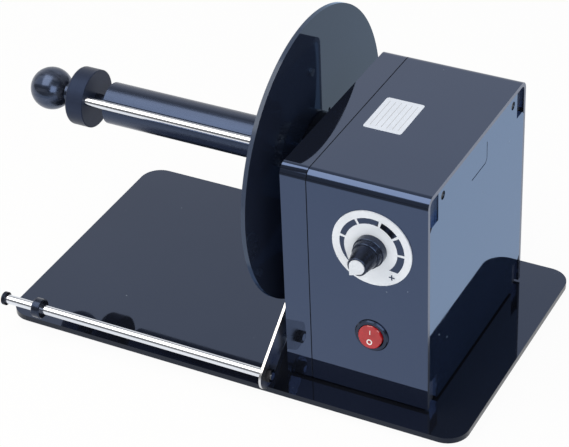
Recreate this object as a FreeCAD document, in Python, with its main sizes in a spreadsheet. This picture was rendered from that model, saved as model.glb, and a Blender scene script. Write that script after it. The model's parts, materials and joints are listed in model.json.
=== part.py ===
import FreeCAD, Part
import math
import os
from types import SimpleNamespace

import Sketcher
from FreeCAD import Placement, Rotation, Vector

# A table-top label rewinder: a motor housing on a base plate turns a cantilevered mandrel with a
# large flange disc, and a dancer arm with a guide rod senses how tight the label web is.
# Frame: +X along the shaft towards the housing, +Y to the back, +Z up. The origin lies under the
# middle of the base plate, on the surface that the feet stand on.

doc = FreeCAD.newDocument("label_rewinder")
os.makedirs("parts", exist_ok=True)

# Driving dimensions, in millimetres, degrees or counts

SIZES = [
    # base plate and feet
    ("base_length", 335.0),
    ("base_depth", 197.0),
    ("base_wall", 4.0),
    ("base_corner", 15.0),
    ("foot_height", 6.0),
    ("foot_radius", 8.0),
    ("foot_taper", 6.0),
    ("foot_inset", 22.0),
    # housing
    ("housing_margin", 30.5),
    ("housing_width", 99.0),
    ("housing_depth", 156.0),
    ("housing_inset", 19.3),
    ("housing_height", 160.4),
    ("band_width", 17.5),
    ("seam_gap", 0.7),
    ("cover_wall", 3.0),
    ("cover_lift", 2.0),
    ("bend_radius", 7.0),
    ("side_wall_thick", 5.0),
    ("panel_wall", 3.0),
    ("notch_width", 12.0),
    ("notch_height", 19.0),
    ("notch_cut", 2.6),
    ("block_length", 26.0),
    ("block_width", 14.0),
    ("outline_width", 24.6),
    ("outline_height", 15.0),
    ("outline_line", 0.8),
    ("outline_depth", 0.6),
    # inner plate, its spacers and the angle brackets
    ("plate_gap", 33.0),
    ("plate_wall", 3.0),
    ("plate_front_gap", 44.2),
    ("plate_back_gap", 5.8),
    ("plate_top_gap", 11.4),
    ("spacer_radius", 4.0),
    ("spacer_inset", 7.0),
    ("spacer_low", 30.0),
    ("bracket_leg", 18.0),
    ("bracket_wall", 3.0),
    ("bracket_width", 16.0),
    # fasteners
    ("screw_radius", 1.5),
    ("screw_head_radius", 2.8),
    ("screw_head_height", 2.0),
    ("screw_play", 0.1),
    ("screw_bite", 7.0),
    # spindle, flange and mandrel
    ("spindle_setback", 97.2),
    ("spindle_height", 106.7),
    ("spindle_radius", 6.0),
    ("spindle_tail", 7.0),
    ("spindle_nose", 22.0),
    ("bearing_radius", 14.0),
    ("bearing_width", 8.0),
    ("bearing_lip", 1.5),
    ("running_play", 0.04),
    ("flange_radius", 100.0),
    ("flange_wall", 3.0),
    ("flange_gap", 24.6),
    ("hub_radius", 43.0),
    ("hub_length", 12.0),
    ("hub_screw_circle", 30.0),
    ("ring_radius", 11.0),
    ("ring_length", 8.0),
    ("mandrel_radius", 14.6),
    ("mandrel_length", 153.3),
    # pull-out clamp
    ("rod_radius", 3.1),
    ("rod_offset", 15.0),
    ("rod_turn", 156.0),
    ("rod_play", 0.4),
    ("rod_tail", 9.0),
    ("pin_radius", 4.0),
    ("pin_play", 0.05),
    ("pin_length", 172.0),
    ("clamp_gap", 13.0),
    ("clamp_radius", 20.5),
    ("clamp_length", 14.0),
    ("clamp_round", 2.0),
    ("clamp_edge", 0.6),
    ("clamp_seat", 9.0),
    ("ball_radius", 15.0),
    ("ball_neck_radius", 6.5),
    ("ball_neck_length", 7.5),
    # gear pair and gear motor
    ("gear_module", 1.5),
    ("gear_teeth", 48),
    ("pinion_teeth", 16),
    ("tooth_play", 0.16),
    ("gear_width", 8.0),
    ("gear_from_wall", 17.0),
    ("gear_boss_radius", 12.0),
    ("gear_boss_length", 4.0),
    ("gear_window_radius", 6.5),
    ("gear_window_circle", 23.5),
    ("gear_windows", 6),
    ("pinion_width", 10.0),
    ("gearbox_radius", 18.5),
    ("gearbox_length", 22.0),
    ("gearbox_boss_radius", 6.0),
    ("motor_radius", 17.5),
    ("motor_length", 26.0),
    ("motor_screw_circle", 15.5),
    ("output_radius", 3.0),
    ("output_length", 33.0),
    # dancer arm
    ("pivot_setback", 38.7),
    ("pivot_height", 61.6),
    ("arm_length", 78.0),
    ("arm_width", 19.0),
    ("arm_wall", 1.6),
    ("arm_from_wall", 3.0),
    ("arm_angle", 38.5),
    ("pivot_radius", 4.0),
    ("pivot_neck_radius", 3.0),
    ("pivot_inside", 18.0),
    ("pivot_collar_radius", 5.5),
    ("bush_radius", 7.0),
    ("bush_lip", 1.5),
    ("bush_length", 11.0),
    ("nut_height", 3.2),
    ("arm_nut_flats", 10.0),
    ("bush_nut_flats", 19.0),
    ("rod_nut_flats", 8.0),
    ("flag_radius", 18.5),
    ("flag_wall", 2.0),
    ("flag_from_wall", 9.0),
    ("flag_spread", 50.0),
    ("sensor_slot", 5.0),
    ("sensor_width", 13.0),
    ("sensor_prong", 4.0),
    ("sensor_web", 5.0),
    ("stop_radius", 2.5),
    ("stop_along", 35.0),
    ("stop_reach", 8.0),
    ("stop_play", 0.15),
    # guide rod on the arm
    ("guide_radius", 3.15),
    ("guide_reach", 196.9),
    ("guide_stub_radius", 2.5),
    ("cap_radius", 4.6),
    ("cap_length", 3.0),
    ("slider_radius", 6.8),
    ("slider_width", 6.5),
    ("slider_reach", 171.4),
    ("slider_play", 0.04),
    # dial and knob
    ("dial_from_right", 37.0),
    ("dial_height", 116.8),
    ("dial_radius", 26.75),
    ("dial_wall", 1.0),
    ("pot_radius", 8.5),
    ("pot_depth", 9.0),
    ("pot_bush_radius", 3.5),
    ("pot_bush_length", 4.0),
    ("pot_nut_flats", 10.0),
    ("pot_nut_height", 2.0),
    ("pot_shaft_radius", 3.0),
    ("knob_play", 0.5),
    ("knob_skirt_radius", 10.4),
    ("knob_skirt_height", 5.0),
    ("knob_step_radius", 9.7),
    ("knob_step_height", 3.8),
    ("knob_foot_radius", 8.9),
    ("knob_tip_radius", 6.4),
    ("knob_length", 20.8),
    ("knob_cap_radius", 5.1),
    ("knob_cap_height", 1.0),
    ("knob_cap_seat", 0.8),
    ("knob_cap_play", 0.3),
    ("pointer_reach", 8.6),
    ("pointer_turn", -125.0),
    # rocker switch
    ("switch_from_right", 38.2),
    ("switch_height", 49.6),
    ("switch_bezel_radius", 11.5),
    ("switch_bezel_wall", 1.5),
    ("switch_body_radius", 10.0),
    ("switch_depth", 17.0),
    ("switch_well_depth", 8.0),
    ("switch_play", 0.1),
    ("rocker_radius", 8.1),
    ("rocker_well_play", 0.7),
    ("rocker_wall", 6.4),
    ("rocker_proud", 4.0),
    ("rocker_tilt", 8.0),
    ("rocker_edge", 0.5),
    ("rocker_pin_depth", 0.5),
    ("rocker_pin_radius", 1.0),
    ("rocker_pin_seat", 0.9),
    # power inlet
    ("inlet_from_right", 30.0),
    ("inlet_height", 22.0),
    ("inlet_radius", 5.5),
    ("inlet_thread_radius", 4.0),
    ("inlet_depth", 13.0),
    ("inlet_lip", 2.0),
    ("inlet_bore_radius", 2.8),
    ("inlet_bore_depth", 9.5),
    ("inlet_pin_radius", 1.0),
    ("inlet_nut_flats", 11.0),
    # control board
    ("board_length", 50.0),
    ("board_depth", 36.0),
    ("board_wall", 1.6),
    ("board_lift", 6.0),
    ("board_gap", 3.0),
    ("board_setback", 17.2),
    ("board_hole_inset", 4.0),
    ("board_post_radius", 2.8),
    ("sink_length", 20.0),
    ("sink_height", 18.0),
    ("sink_fins", 5),
    ("fin_wall", 1.2),
    ("fin_depth", 12.0),
    ("terminal_length", 20.0),
    ("terminal_depth", 8.0),
    ("terminal_height", 10.0),
    ("terminal_ways", 4),
]

sheet = doc.addObject("Spreadsheet::Sheet", "Sizes")
for row, (alias, value) in enumerate(SIZES, start=1):
    sheet.set("A%d" % row, alias)
    sheet.set("B%d" % row, str(value))
    sheet.setAlias("B%d" % row, alias)
doc.recompute()
mm = SimpleNamespace(**{alias: float(sheet.get(alias)) for alias, value in SIZES})

# Levels and places that follow from the driving dimensions

BASE_TOP = mm.foot_height + mm.base_wall
FRONT = -mm.base_depth / 2 + mm.housing_inset
BACK = FRONT + mm.housing_depth
TOP = BASE_TOP + mm.housing_height
RIGHT = mm.base_length / 2 - mm.housing_margin
LEFT = RIGHT - mm.housing_width
COVER_FOOT = BASE_TOP + mm.cover_lift
INNER_FRONT = FRONT + mm.cover_wall
INNER_BACK = BACK - mm.cover_wall
INNER_TOP = TOP - mm.cover_wall
INNER_BEND = mm.bend_radius - mm.cover_wall
WALL_IN = LEFT + mm.side_wall_thick
PLATE_LEFT = WALL_IN + mm.plate_gap
PLATE_RIGHT = PLATE_LEFT + mm.plate_wall
PANEL_IN = RIGHT - mm.panel_wall

SPINDLE = Vector(0, FRONT + mm.spindle_setback, BASE_TOP + mm.spindle_height)
FLANGE_RIGHT = LEFT - mm.flange_gap
FLANGE_LEFT = FLANGE_RIGHT - mm.flange_wall
HUB_RIGHT = FLANGE_RIGHT + mm.hub_length
MANDREL_LEFT = FLANGE_LEFT - mm.mandrel_length
CLAMP_RIGHT = MANDREL_LEFT - mm.clamp_gap
CLAMP_LEFT = CLAMP_RIGHT - mm.clamp_length
BALL_MIDDLE = CLAMP_LEFT - mm.ball_neck_length - mm.ball_radius
PIN_RIGHT = BALL_MIDDLE + mm.pin_length
ROD_AT = (mm.rod_offset * math.cos(math.radians(mm.rod_turn)),
          mm.rod_offset * math.sin(math.radians(mm.rod_turn)))

GEAR_LEFT = WALL_IN + mm.gear_from_wall
GEAR_REACH = mm.gear_module * (mm.gear_teeth + mm.pinion_teeth) / 2
MOTOR = SPINDLE - Vector(0, 0, GEAR_REACH)

PIVOT = Vector(0, FRONT + mm.pivot_setback, BASE_TOP + mm.pivot_height)
ARM_TURN = Rotation(Vector(1, 0, 0), mm.arm_angle)
ARM_RIGHT = LEFT - mm.arm_from_wall
ARM_LEFT = ARM_RIGHT - mm.arm_wall
GUIDE = PIVOT + ARM_TURN.multVec(Vector(0, -mm.arm_length, 0))
FLAG_LEFT = WALL_IN + mm.flag_from_wall

DIAL = Vector(RIGHT - mm.dial_from_right, FRONT, BASE_TOP + mm.dial_height)
SWITCH = Vector(RIGHT - mm.switch_from_right, FRONT, BASE_TOP + mm.switch_height)
INLET = Vector(RIGHT - mm.inlet_from_right, BACK, BASE_TOP + mm.inlet_height)

BOARD_FOOT = BASE_TOP + mm.board_lift
BOARD_TOP = BOARD_FOOT + mm.board_wall
BOARD_LEFT = PLATE_RIGHT + mm.board_gap
BOARD_FRONT = FRONT + mm.board_setback

PLATE_FRONT = INNER_FRONT + mm.plate_front_gap
PLATE_BACK = INNER_BACK - mm.plate_back_gap
PLATE_TOP = INNER_TOP - mm.plate_top_gap
FEET = [(x, y) for x in (mm.foot_inset - mm.base_length / 2, mm.base_length / 2 - mm.foot_inset)
        for y in (mm.foot_inset - mm.base_depth / 2, mm.base_depth / 2 - mm.foot_inset)]
SPACERS = [(y, z) for y in (PLATE_FRONT + mm.spacer_inset, PLATE_BACK - mm.spacer_inset)
           for z in (BASE_TOP + mm.spacer_low, PLATE_TOP - mm.spacer_inset)]
BRACKET_ROWS = (PLATE_FRONT + mm.bracket_width, PLATE_BACK - mm.bracket_width)
WALL_BRACKET_ROWS = (INNER_FRONT + mm.bracket_width, INNER_BACK - mm.bracket_width)
BRACKET_HOLE = (mm.bracket_leg + mm.bracket_wall) / 2
BLOCK_MIDDLE = PANEL_IN - mm.block_width / 2
BLOCK_HOLES = [(BLOCK_MIDDLE, INNER_FRONT + mm.notch_width / 2),
               (BLOCK_MIDDLE, INNER_BACK - mm.notch_width / 2)]
BASE_HOLES = ([(WALL_IN + BRACKET_HOLE, y) for y in WALL_BRACKET_ROWS]
              + [(PLATE_RIGHT + BRACKET_HOLE, y) for y in BRACKET_ROWS]
              + BLOCK_HOLES)
PANEL_SCREWS = [(INNER_FRONT + mm.block_length - mm.spacer_inset, TOP - mm.bend_radius - 1.4),
                (INNER_BACK - mm.block_length + mm.spacer_inset, TOP - mm.bend_radius - 1.4)]
HUB_SCREWS = 4

AXES = {"X": "YZ_Plane", "Y": "XZ_Plane", "Z": "XY_Plane"}


# Ways of making and drawing

def new_body(name, place=Vector(0, 0, 0), turn=Rotation()):
    """A named sub-part in its own frame, which stands at place."""
    body = doc.addObject("PartDesign::Body", name)
    body.Label = name
    body.Placement = Placement(place, turn)
    return body


def new_sketch(body, axis, start):
    """A sketch square to an axis of the body's frame, at a distance along it."""
    sketch = body.newObject("Sketcher::SketchObject", body.Name + "_sketch")
    plane = next(part for part in body.Origin.OriginFeatures if part.Role == AXES[axis])
    sketch.AttachmentSupport = (plane, "")
    sketch.MapMode = "FlatFace"
    offset = -start if axis == "Y" else start
    sketch.AttachmentOffset = Placement(Vector(0, 0, offset), Rotation())
    return sketch


def grow(body, axis, start, length, draw):
    """Pad what draw puts in a sketch, from start along the axis. Length is a formula or a number."""
    sketch = new_sketch(body, axis, start)
    draw(sketch)
    pad = body.newObject("PartDesign::Pad", body.Name + "_pad")
    pad.Profile = sketch
    set_length(pad, length)
    pad.Reversed = axis == "Y"
    return pad


def cut(body, axis, start, length, draw):
    """Pocket what draw puts in a sketch, from start along the axis."""
    sketch = new_sketch(body, axis, start)
    draw(sketch)
    pocket = body.newObject("PartDesign::Pocket", body.Name + "_pocket")
    pocket.Profile = sketch
    set_length(pocket, length)
    pocket.Reversed = axis != "Y"
    return pocket


def set_length(feature, length):
    """Bind a feature's length to the sheet, or set the number that follows from it."""
    if isinstance(length, str):
        feature.setExpression("Length", length)
    else:
        feature.Length = length


def spin(body, draw, plane_axis="Y", line="H_Axis"):
    """Turn a profile once round an axis of the body's frame."""
    sketch = new_sketch(body, plane_axis, 0.0)
    draw(sketch)
    turned = body.newObject("PartDesign::Revolution", body.Name + "_turned")
    turned.Profile = sketch
    turned.ReferenceAxis = (sketch, [line])
    turned.Angle = 360.0
    return turned


def repeat(body, feature, axis_role, count):
    """Set copies of a feature evenly round an axis of the body's frame."""
    pattern = body.newObject("PartDesign::PolarPattern", body.Name + "_pattern")
    pattern.Originals = [feature]
    axis = next(part for part in body.Origin.OriginFeatures if part.Role == axis_role)
    pattern.Axis = (axis, [""])
    pattern.Angle = 360.0
    pattern.Occurrences = int(count)
    body.Tip = pattern
    return pattern


def draw_outline(sketch, points):
    """A closed outline of straight lines."""
    corners = [Vector(u, v, 0) for u, v in points]
    for here, there in zip(corners, corners[1:] + corners[:1]):
        sketch.addGeometry(Part.LineSegment(here, there))


def draw_box(sketch, low, high):
    """A rectangle between two corners."""
    draw_outline(sketch, [low, (high[0], low[1]), high, (low[0], high[1])])


def draw_circle(sketch, middle, radius, formula=None):
    """A circle, its radius bound to the sheet where a formula is given."""
    index = sketch.addGeometry(Part.Circle(Vector(middle[0], middle[1], 0), Vector(0, 0, 1), radius))
    if formula:
        rule = sketch.addConstraint(Sketcher.Constraint("Radius", index, radius))
        sketch.setExpression("Constraints[%d]" % rule, formula)


def draw_hexagon(sketch, middle, flats):
    """A hexagon by its width across the flats."""
    reach = flats / math.sqrt(3)
    turns = [math.radians(60 * step) for step in range(6)]
    draw_outline(sketch, [(middle[0] + reach * math.cos(turn), middle[1] + reach * math.sin(turn))
                          for turn in turns])


def draw_arc(sketch, middle, radius, start, stop):
    """An arc between two directions in degrees, anticlockwise."""
    circle = Part.Circle(Vector(middle[0], middle[1], 0), Vector(0, 0, 1), radius)
    sketch.addGeometry(Part.ArcOfCircle(circle, math.radians(start), math.radians(stop)))


def draw_line(sketch, here, there):
    sketch.addGeometry(Part.LineSegment(Vector(*here, 0), Vector(*there, 0)))


def draw_rounded_box(sketch, low, high, radii):
    """A rectangle with a radius for each corner: low-low, high-low, high-high, low-high."""
    first, second, third, fourth = radii
    (left, foot), (right, head) = low, high
    draw_line(sketch, (left + first, foot), (right - second, foot))
    draw_line(sketch, (right, foot + second), (right, head - third))
    draw_line(sketch, (right - third, head), (left + fourth, head))
    draw_line(sketch, (left, head - fourth), (left, foot + first))
    if first:
        draw_arc(sketch, (left + first, foot + first), first, 180, 270)
    if second:
        draw_arc(sketch, (right - second, foot + second), second, 270, 360)
    if third:
        draw_arc(sketch, (right - third, head - third), third, 0, 90)
    if fourth:
        draw_arc(sketch, (left + fourth, head - fourth), fourth, 90, 180)


def draw_bent_sheet(sketch, foot):
    """The section of a sheet bent down at the front and at the back, with both faces of the bend."""
    outer = mm.bend_radius
    bend = TOP - outer
    draw_line(sketch, (FRONT, foot), (FRONT, bend))
    draw_arc(sketch, (FRONT + outer, bend), outer, 90, 180)
    draw_line(sketch, (FRONT + outer, TOP), (BACK - outer, TOP))
    draw_arc(sketch, (BACK - outer, bend), outer, 0, 90)
    draw_line(sketch, (BACK, bend), (BACK, foot))
    draw_line(sketch, (BACK, foot), (INNER_BACK, foot))
    draw_line(sketch, (INNER_BACK, foot), (INNER_BACK, bend))
    draw_arc(sketch, (BACK - outer, bend), INNER_BEND, 0, 90)
    draw_line(sketch, (BACK - outer, INNER_TOP), (FRONT + outer, INNER_TOP))
    draw_arc(sketch, (FRONT + outer, bend), INNER_BEND, 90, 180)
    draw_line(sketch, (INNER_FRONT, bend), (INNER_FRONT, foot))
    draw_line(sketch, (INNER_FRONT, foot), (FRONT, foot))


def gear_outline(teeth, turn):
    """The points of a spur gear's outline with involute flanks, one tooth pointing at turn."""
    module = mm.gear_module
    pitch = module * teeth / 2
    tip = pitch + 0.95 * module
    root = pitch - 1.25 * module
    base = pitch * math.cos(math.radians(20.0))
    half = math.pi / (2 * teeth) - mm.tooth_play / (2 * pitch)

    def involute(radius):
        angle = math.acos(min(1.0, base / radius))
        return math.tan(angle) - angle

    at_pitch = involute(pitch)
    steps = [max(base, root) + (tip - max(base, root)) * share / 3 for share in range(4)]
    flank = [(radius, half + at_pitch - involute(radius)) for radius in steps]
    if base > root:
        flank.insert(0, (root, flank[0][1]))
    points = []
    for tooth in range(int(teeth)):
        middle = turn + 2 * math.pi * tooth / teeth
        for radius, away in flank:
            points.append((radius * math.cos(middle - away), radius * math.sin(middle - away)))
        for radius, away in reversed(flank):
            points.append((radius * math.cos(middle + away), radius * math.sin(middle + away)))
    return points


def screws(name, axis, places, head_start, head_side, shank, head_radius=None):
    """Pan head screws along an axis. head_side is +1 where the shank runs on from the head."""
    body = new_body(name)
    head = mm.screw_head_radius if head_radius is None else head_radius
    shank_start = head_start + mm.screw_head_height if head_side > 0 else head_start - shank

    def draw_heads(sketch):
        for place in places:
            draw_circle(sketch, place, head)

    def draw_shanks(sketch):
        for place in places:
            draw_circle(sketch, place, mm.screw_radius, "Sizes.screw_radius")

    grow(body, axis, head_start, "Sizes.screw_head_height", draw_heads)
    grow(body, axis, shank_start, shank, draw_shanks)
    return body


def holes(body, axis, start, length, places, radius, formula=None):
    """Round holes of one size."""
    def draw(sketch):
        for place in places:
            draw_circle(sketch, place, radius, formula)

    return cut(body, axis, start, length, draw)


def tube(body, start, length, outer, inner=0.0, outer_formula=None, inner_formula=None):
    """A round bar or tube along the body's own X axis."""
    def draw(sketch):
        draw_circle(sketch, (0, 0), outer, outer_formula)
        if inner:
            draw_circle(sketch, (0, 0), inner, inner_formula)

    return grow(body, "X", start, length, draw)


# Base plate and feet

def make_base_plate():
    body = new_body("base_plate")
    half = (mm.base_length / 2, mm.base_depth / 2)
    corner = [mm.base_corner] * 4
    grow(body, "Z", mm.foot_height, "Sizes.base_wall",
         lambda sketch: draw_rounded_box(sketch, (-half[0], -half[1]), half, corner))
    hole = mm.screw_radius + mm.screw_play
    formula = "Sizes.screw_radius + Sizes.screw_play"
    holes(body, "Z", mm.foot_height, "Sizes.base_wall", BASE_HOLES, hole, formula)
    holes(body, "Z", mm.foot_height, "Sizes.base_wall * 0.75", FEET, hole, formula)


def make_feet():
    body = new_body("feet")

    def draw_feet(sketch):
        for place in FEET:
            draw_circle(sketch, place, mm.foot_radius, "Sizes.foot_radius")

    pad = grow(body, "Z", 0.0, "Sizes.foot_height", draw_feet)
    pad.setExpression("TaperAngle", "Sizes.foot_taper")
    recess = mm.screw_head_radius + 0.4
    holes(body, "Z", 0.0, "Sizes.screw_head_height + 1.0", FEET, recess,
          "Sizes.screw_head_radius + 0.4")
    holes(body, "Z", 0.0, "Sizes.foot_height", FEET, mm.screw_radius + mm.screw_play,
          "Sizes.screw_radius + Sizes.screw_play")


def make_foot_screws():
    screws("foot_screws", "Z", FEET, 1.0, 1,
           mm.foot_height - 1.0 - mm.screw_head_height + mm.base_wall * 0.7)


def make_base_screws():
    screws("base_screws", "Z", BASE_HOLES, mm.foot_height - mm.screw_head_height, 1,
           mm.base_wall + mm.bracket_wall)


# Housing sheets

def make_side_wall():
    body = new_body("side_wall")
    corner = INNER_BEND + 0.5
    grow(body, "X", LEFT, "Sizes.side_wall_thick",
         lambda sketch: draw_rounded_box(sketch, (INNER_FRONT, BASE_TOP), (INNER_BACK, INNER_TOP),
                                         (0, 0, corner, corner)))
    spindle_at = (SPINDLE.y, SPINDLE.z)
    holes(body, "X", LEFT, "Sizes.side_wall_thick", [spindle_at], mm.bearing_radius,
          "Sizes.bearing_radius")
    holes(body, "X", LEFT, "Sizes.side_wall_thick", [(PIVOT.y, PIVOT.z)], mm.bush_radius,
          "Sizes.bush_radius")
    holes(body, "X", LEFT, "Sizes.side_wall_thick", [stop_place()], mm.stop_radius,
          "Sizes.stop_radius")
    holes(body, "X", LEFT, "Sizes.side_wall_thick", SPACERS + wall_bracket_holes(),
          mm.screw_radius + mm.screw_play, "Sizes.screw_radius + Sizes.screw_play")


def make_cover_band():
    body = new_body("cover_band")
    grow(body, "X", LEFT, "Sizes.band_width", lambda sketch: draw_bent_sheet(sketch, COVER_FOOT))


def make_main_cover():
    body = new_body("main_cover")
    grow(body, "X", LEFT + mm.band_width + mm.seam_gap,
         "Sizes.housing_width - Sizes.band_width - Sizes.seam_gap",
         lambda sketch: draw_bent_sheet(sketch, COVER_FOOT))
    holes(body, "Y", FRONT, "Sizes.cover_wall", [(DIAL.x, DIAL.z)],
          mm.pot_bush_radius + mm.screw_play, "Sizes.pot_bush_radius + Sizes.screw_play")
    holes(body, "Y", FRONT, "Sizes.cover_wall", [(SWITCH.x, SWITCH.z)],
          mm.switch_body_radius + mm.switch_play, "Sizes.switch_body_radius + Sizes.switch_play")
    holes(body, "Y", INNER_BACK, "Sizes.cover_wall", [(INLET.x, INLET.z)],
          mm.inlet_thread_radius + mm.screw_play, "Sizes.inlet_thread_radius + Sizes.screw_play")


def panel_outline():
    """The side panel with a notch at each corner, its own corners beside them cut off."""
    wide = mm.notch_width
    tall = mm.notch_height
    slope = mm.notch_cut
    left, right = INNER_FRONT, INNER_BACK
    foot, head = COVER_FOOT, INNER_TOP
    return [(left + wide, foot), (right - wide, foot), (right - wide, foot + tall),
            (right - slope, foot + tall), (right, foot + tall + slope),
            (right, head - tall - slope), (right - slope, head - tall),
            (right - wide, head - tall), (right - wide, head), (left + wide, head),
            (left + wide, head - tall), (left + slope, head - tall),
            (left, head - tall - slope), (left, foot + tall + slope),
            (left + slope, foot + tall), (left + wide, foot + tall)]


def make_side_panel():
    body = new_body("side_panel")
    grow(body, "X", PANEL_IN, "Sizes.panel_wall",
         lambda sketch: draw_outline(sketch, panel_outline()))
    holes(body, "X", PANEL_IN, "Sizes.panel_wall", PANEL_SCREWS,
          mm.screw_head_radius + mm.screw_play, "Sizes.screw_head_radius + Sizes.screw_play")
    # the groove of a part-cut opening near the top edge, along its foot and its back
    head = TOP - 10.4
    foot = head - mm.outline_height
    half = mm.outline_width / 2
    line = mm.outline_line
    slope = mm.notch_cut

    def draw_groove(sketch):
        draw_outline(sketch, [(-half, foot), (half - slope, foot), (half, foot + slope),
                              (half, head), (half - line, head),
                              (half - line, foot + slope + line / 2),
                              (half - slope - line / 2, foot + line), (-half, foot + line)])

    cut(body, "X", RIGHT - mm.outline_depth, "Sizes.outline_depth", draw_groove)


def make_corner_blocks():
    body = new_body("corner_blocks")
    corner = INNER_BEND + 0.5
    low_head = COVER_FOOT + mm.notch_height
    high_foot = INNER_TOP - mm.notch_height
    long = mm.block_length
    short = mm.notch_width

    def draw_blocks(sketch):
        draw_rounded_box(sketch, (INNER_FRONT, high_foot), (INNER_FRONT + long, INNER_TOP),
                         (0, 0, 0, corner))
        draw_rounded_box(sketch, (INNER_BACK - long, high_foot), (INNER_BACK, INNER_TOP),
                         (0, 0, corner, 0))
        draw_box(sketch, (INNER_FRONT, BASE_TOP), (INNER_FRONT + short, low_head))
        draw_box(sketch, (INNER_BACK - short, BASE_TOP), (INNER_BACK, low_head))

    grow(body, "X", PANEL_IN - mm.block_width, "Sizes.block_width", draw_blocks)
    hole = mm.screw_radius + mm.screw_play
    formula = "Sizes.screw_radius + Sizes.screw_play"
    holes(body, "X", PANEL_IN - mm.screw_bite, "Sizes.screw_bite", PANEL_SCREWS, hole, formula)
    holes(body, "Z", BASE_TOP, "Sizes.screw_bite", BLOCK_HOLES, hole, formula)


def make_panel_screws():
    screws("panel_screws", "X", PANEL_SCREWS, PANEL_IN + 0.4, -1, mm.screw_bite - 0.6)


# Inner frame

def make_inner_plate():
    body = new_body("inner_plate")
    grow(body, "X", PLATE_LEFT, "Sizes.plate_wall",
         lambda sketch: draw_rounded_box(sketch, (PLATE_FRONT, BASE_TOP), (PLATE_BACK, PLATE_TOP),
                                         (0, 0, mm.spacer_inset, mm.spacer_inset)))
    hole = mm.screw_radius + mm.screw_play
    formula = "Sizes.screw_radius + Sizes.screw_play"
    holes(body, "X", PLATE_LEFT, "Sizes.plate_wall", [(SPINDLE.y, SPINDLE.z)], mm.bearing_radius,
          "Sizes.bearing_radius")
    holes(body, "X", PLATE_LEFT, "Sizes.plate_wall", [(MOTOR.y, MOTOR.z)],
          mm.gearbox_boss_radius + mm.screw_play, "Sizes.gearbox_boss_radius + Sizes.screw_play")
    holes(body, "X", PLATE_LEFT, "Sizes.plate_wall", motor_screw_places(), hole, formula)
    holes(body, "X", PLATE_LEFT, "Sizes.plate_wall", SPACERS + plate_bracket_holes(), hole, formula)


def make_plate_spacers():
    body = new_body("plate_spacers")

    def draw(sketch):
        for place in SPACERS:
            draw_circle(sketch, place, mm.spacer_radius, "Sizes.spacer_radius")
            draw_circle(sketch, place, mm.screw_radius + mm.screw_play,
                        "Sizes.screw_radius + Sizes.screw_play")

    grow(body, "X", WALL_IN, "Sizes.plate_gap", draw)


def wall_bracket_holes():
    """Where screws hold the brackets to the side wall."""
    return [(y, BASE_TOP + BRACKET_HOLE) for y in WALL_BRACKET_ROWS]


def plate_bracket_holes():
    """Where screws hold the brackets to the inner plate."""
    return [(y, BASE_TOP + BRACKET_HOLE) for y in BRACKET_ROWS]


def make_angle_brackets():
    body = new_body("angle_brackets")
    leg = mm.bracket_leg
    wall = mm.bracket_wall
    half = mm.bracket_width / 2
    groups = [(WALL_IN, WALL_BRACKET_ROWS), (PLATE_RIGHT, BRACKET_ROWS)]
    for left, rows in groups:
        for row in rows:
            corners = [(left, BASE_TOP), (left + leg, BASE_TOP), (left + leg, BASE_TOP + wall),
                       (left + wall, BASE_TOP + wall), (left + wall, BASE_TOP + leg),
                       (left, BASE_TOP + leg)]
            grow(body, "Y", row - half, "Sizes.bracket_width",
                 lambda sketch, corners=corners: draw_outline(sketch, corners))
    hole = mm.screw_radius + mm.screw_play
    formula = "Sizes.screw_radius + Sizes.screw_play"
    feet = BASE_HOLES[:-len(BLOCK_HOLES)]
    holes(body, "Z", BASE_TOP, "Sizes.bracket_wall", feet, hole, formula)
    holes(body, "X", WALL_IN, "Sizes.bracket_wall", wall_bracket_holes(), hole, formula)
    holes(body, "X", PLATE_RIGHT, "Sizes.bracket_wall", plate_bracket_holes(), hole, formula)


def make_wall_screws():
    """Screws through the side wall into spacers and brackets, heads outside."""
    screws("wall_screws", "X", SPACERS + wall_bracket_holes(), LEFT - mm.screw_head_height, 1,
           mm.side_wall_thick + mm.bracket_wall)


def make_plate_screws():
    """Screws through the inner plate, heads on its right or on the brackets."""
    body = screws("plate_screws", "X", SPACERS, PLATE_RIGHT, -1, mm.plate_wall + mm.screw_bite)
    for place in plate_bracket_holes():
        head_left = PLATE_RIGHT + mm.bracket_wall
        grow(body, "X", head_left, "Sizes.screw_head_height",
             lambda sketch, place=place: draw_circle(sketch, place, mm.screw_head_radius))
        grow(body, "X", PLATE_LEFT, "Sizes.plate_wall + Sizes.bracket_wall",
             lambda sketch, place=place: draw_circle(sketch, place, mm.screw_radius))


# Spindle, flange and mandrel: their frames stand on the spindle axis

def make_bearing(name, seat):
    """A flanged ball bearing whose lip lies on the left face of the wall at seat."""
    body = new_body(name, SPINDLE)
    bore = mm.spindle_radius + mm.running_play
    outer = mm.bearing_radius
    lip = mm.bearing_lip
    ring = (outer - bore) / 3
    groove = 0.7
    right = seat + mm.bearing_width

    def draw(sketch):
        draw_outline(sketch, [(seat - lip, bore), (seat - lip, bore + ring),
                              (seat - lip + groove, bore + ring),
                              (seat - lip + groove, outer - ring), (seat - lip, outer - ring),
                              (seat - lip, outer + lip), (seat, outer + lip), (seat, outer),
                              (right, outer), (right, outer - ring), (right - groove, outer - ring),
                              (right - groove, bore + ring), (right, bore + ring), (right, bore)])

    spin(body, draw)


def make_spindle():
    body = new_body("spindle", SPINDLE)
    left = FLANGE_LEFT - mm.spindle_nose
    right = PLATE_RIGHT + mm.bearing_width + mm.spindle_tail
    radius = mm.spindle_radius
    bevel = 0.8

    def draw(sketch):
        draw_outline(sketch, [(left, 0), (left, radius - bevel), (left + bevel, radius),
                              (right - bevel, radius), (right, radius - bevel), (right, 0)])

    spin(body, draw)


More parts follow.
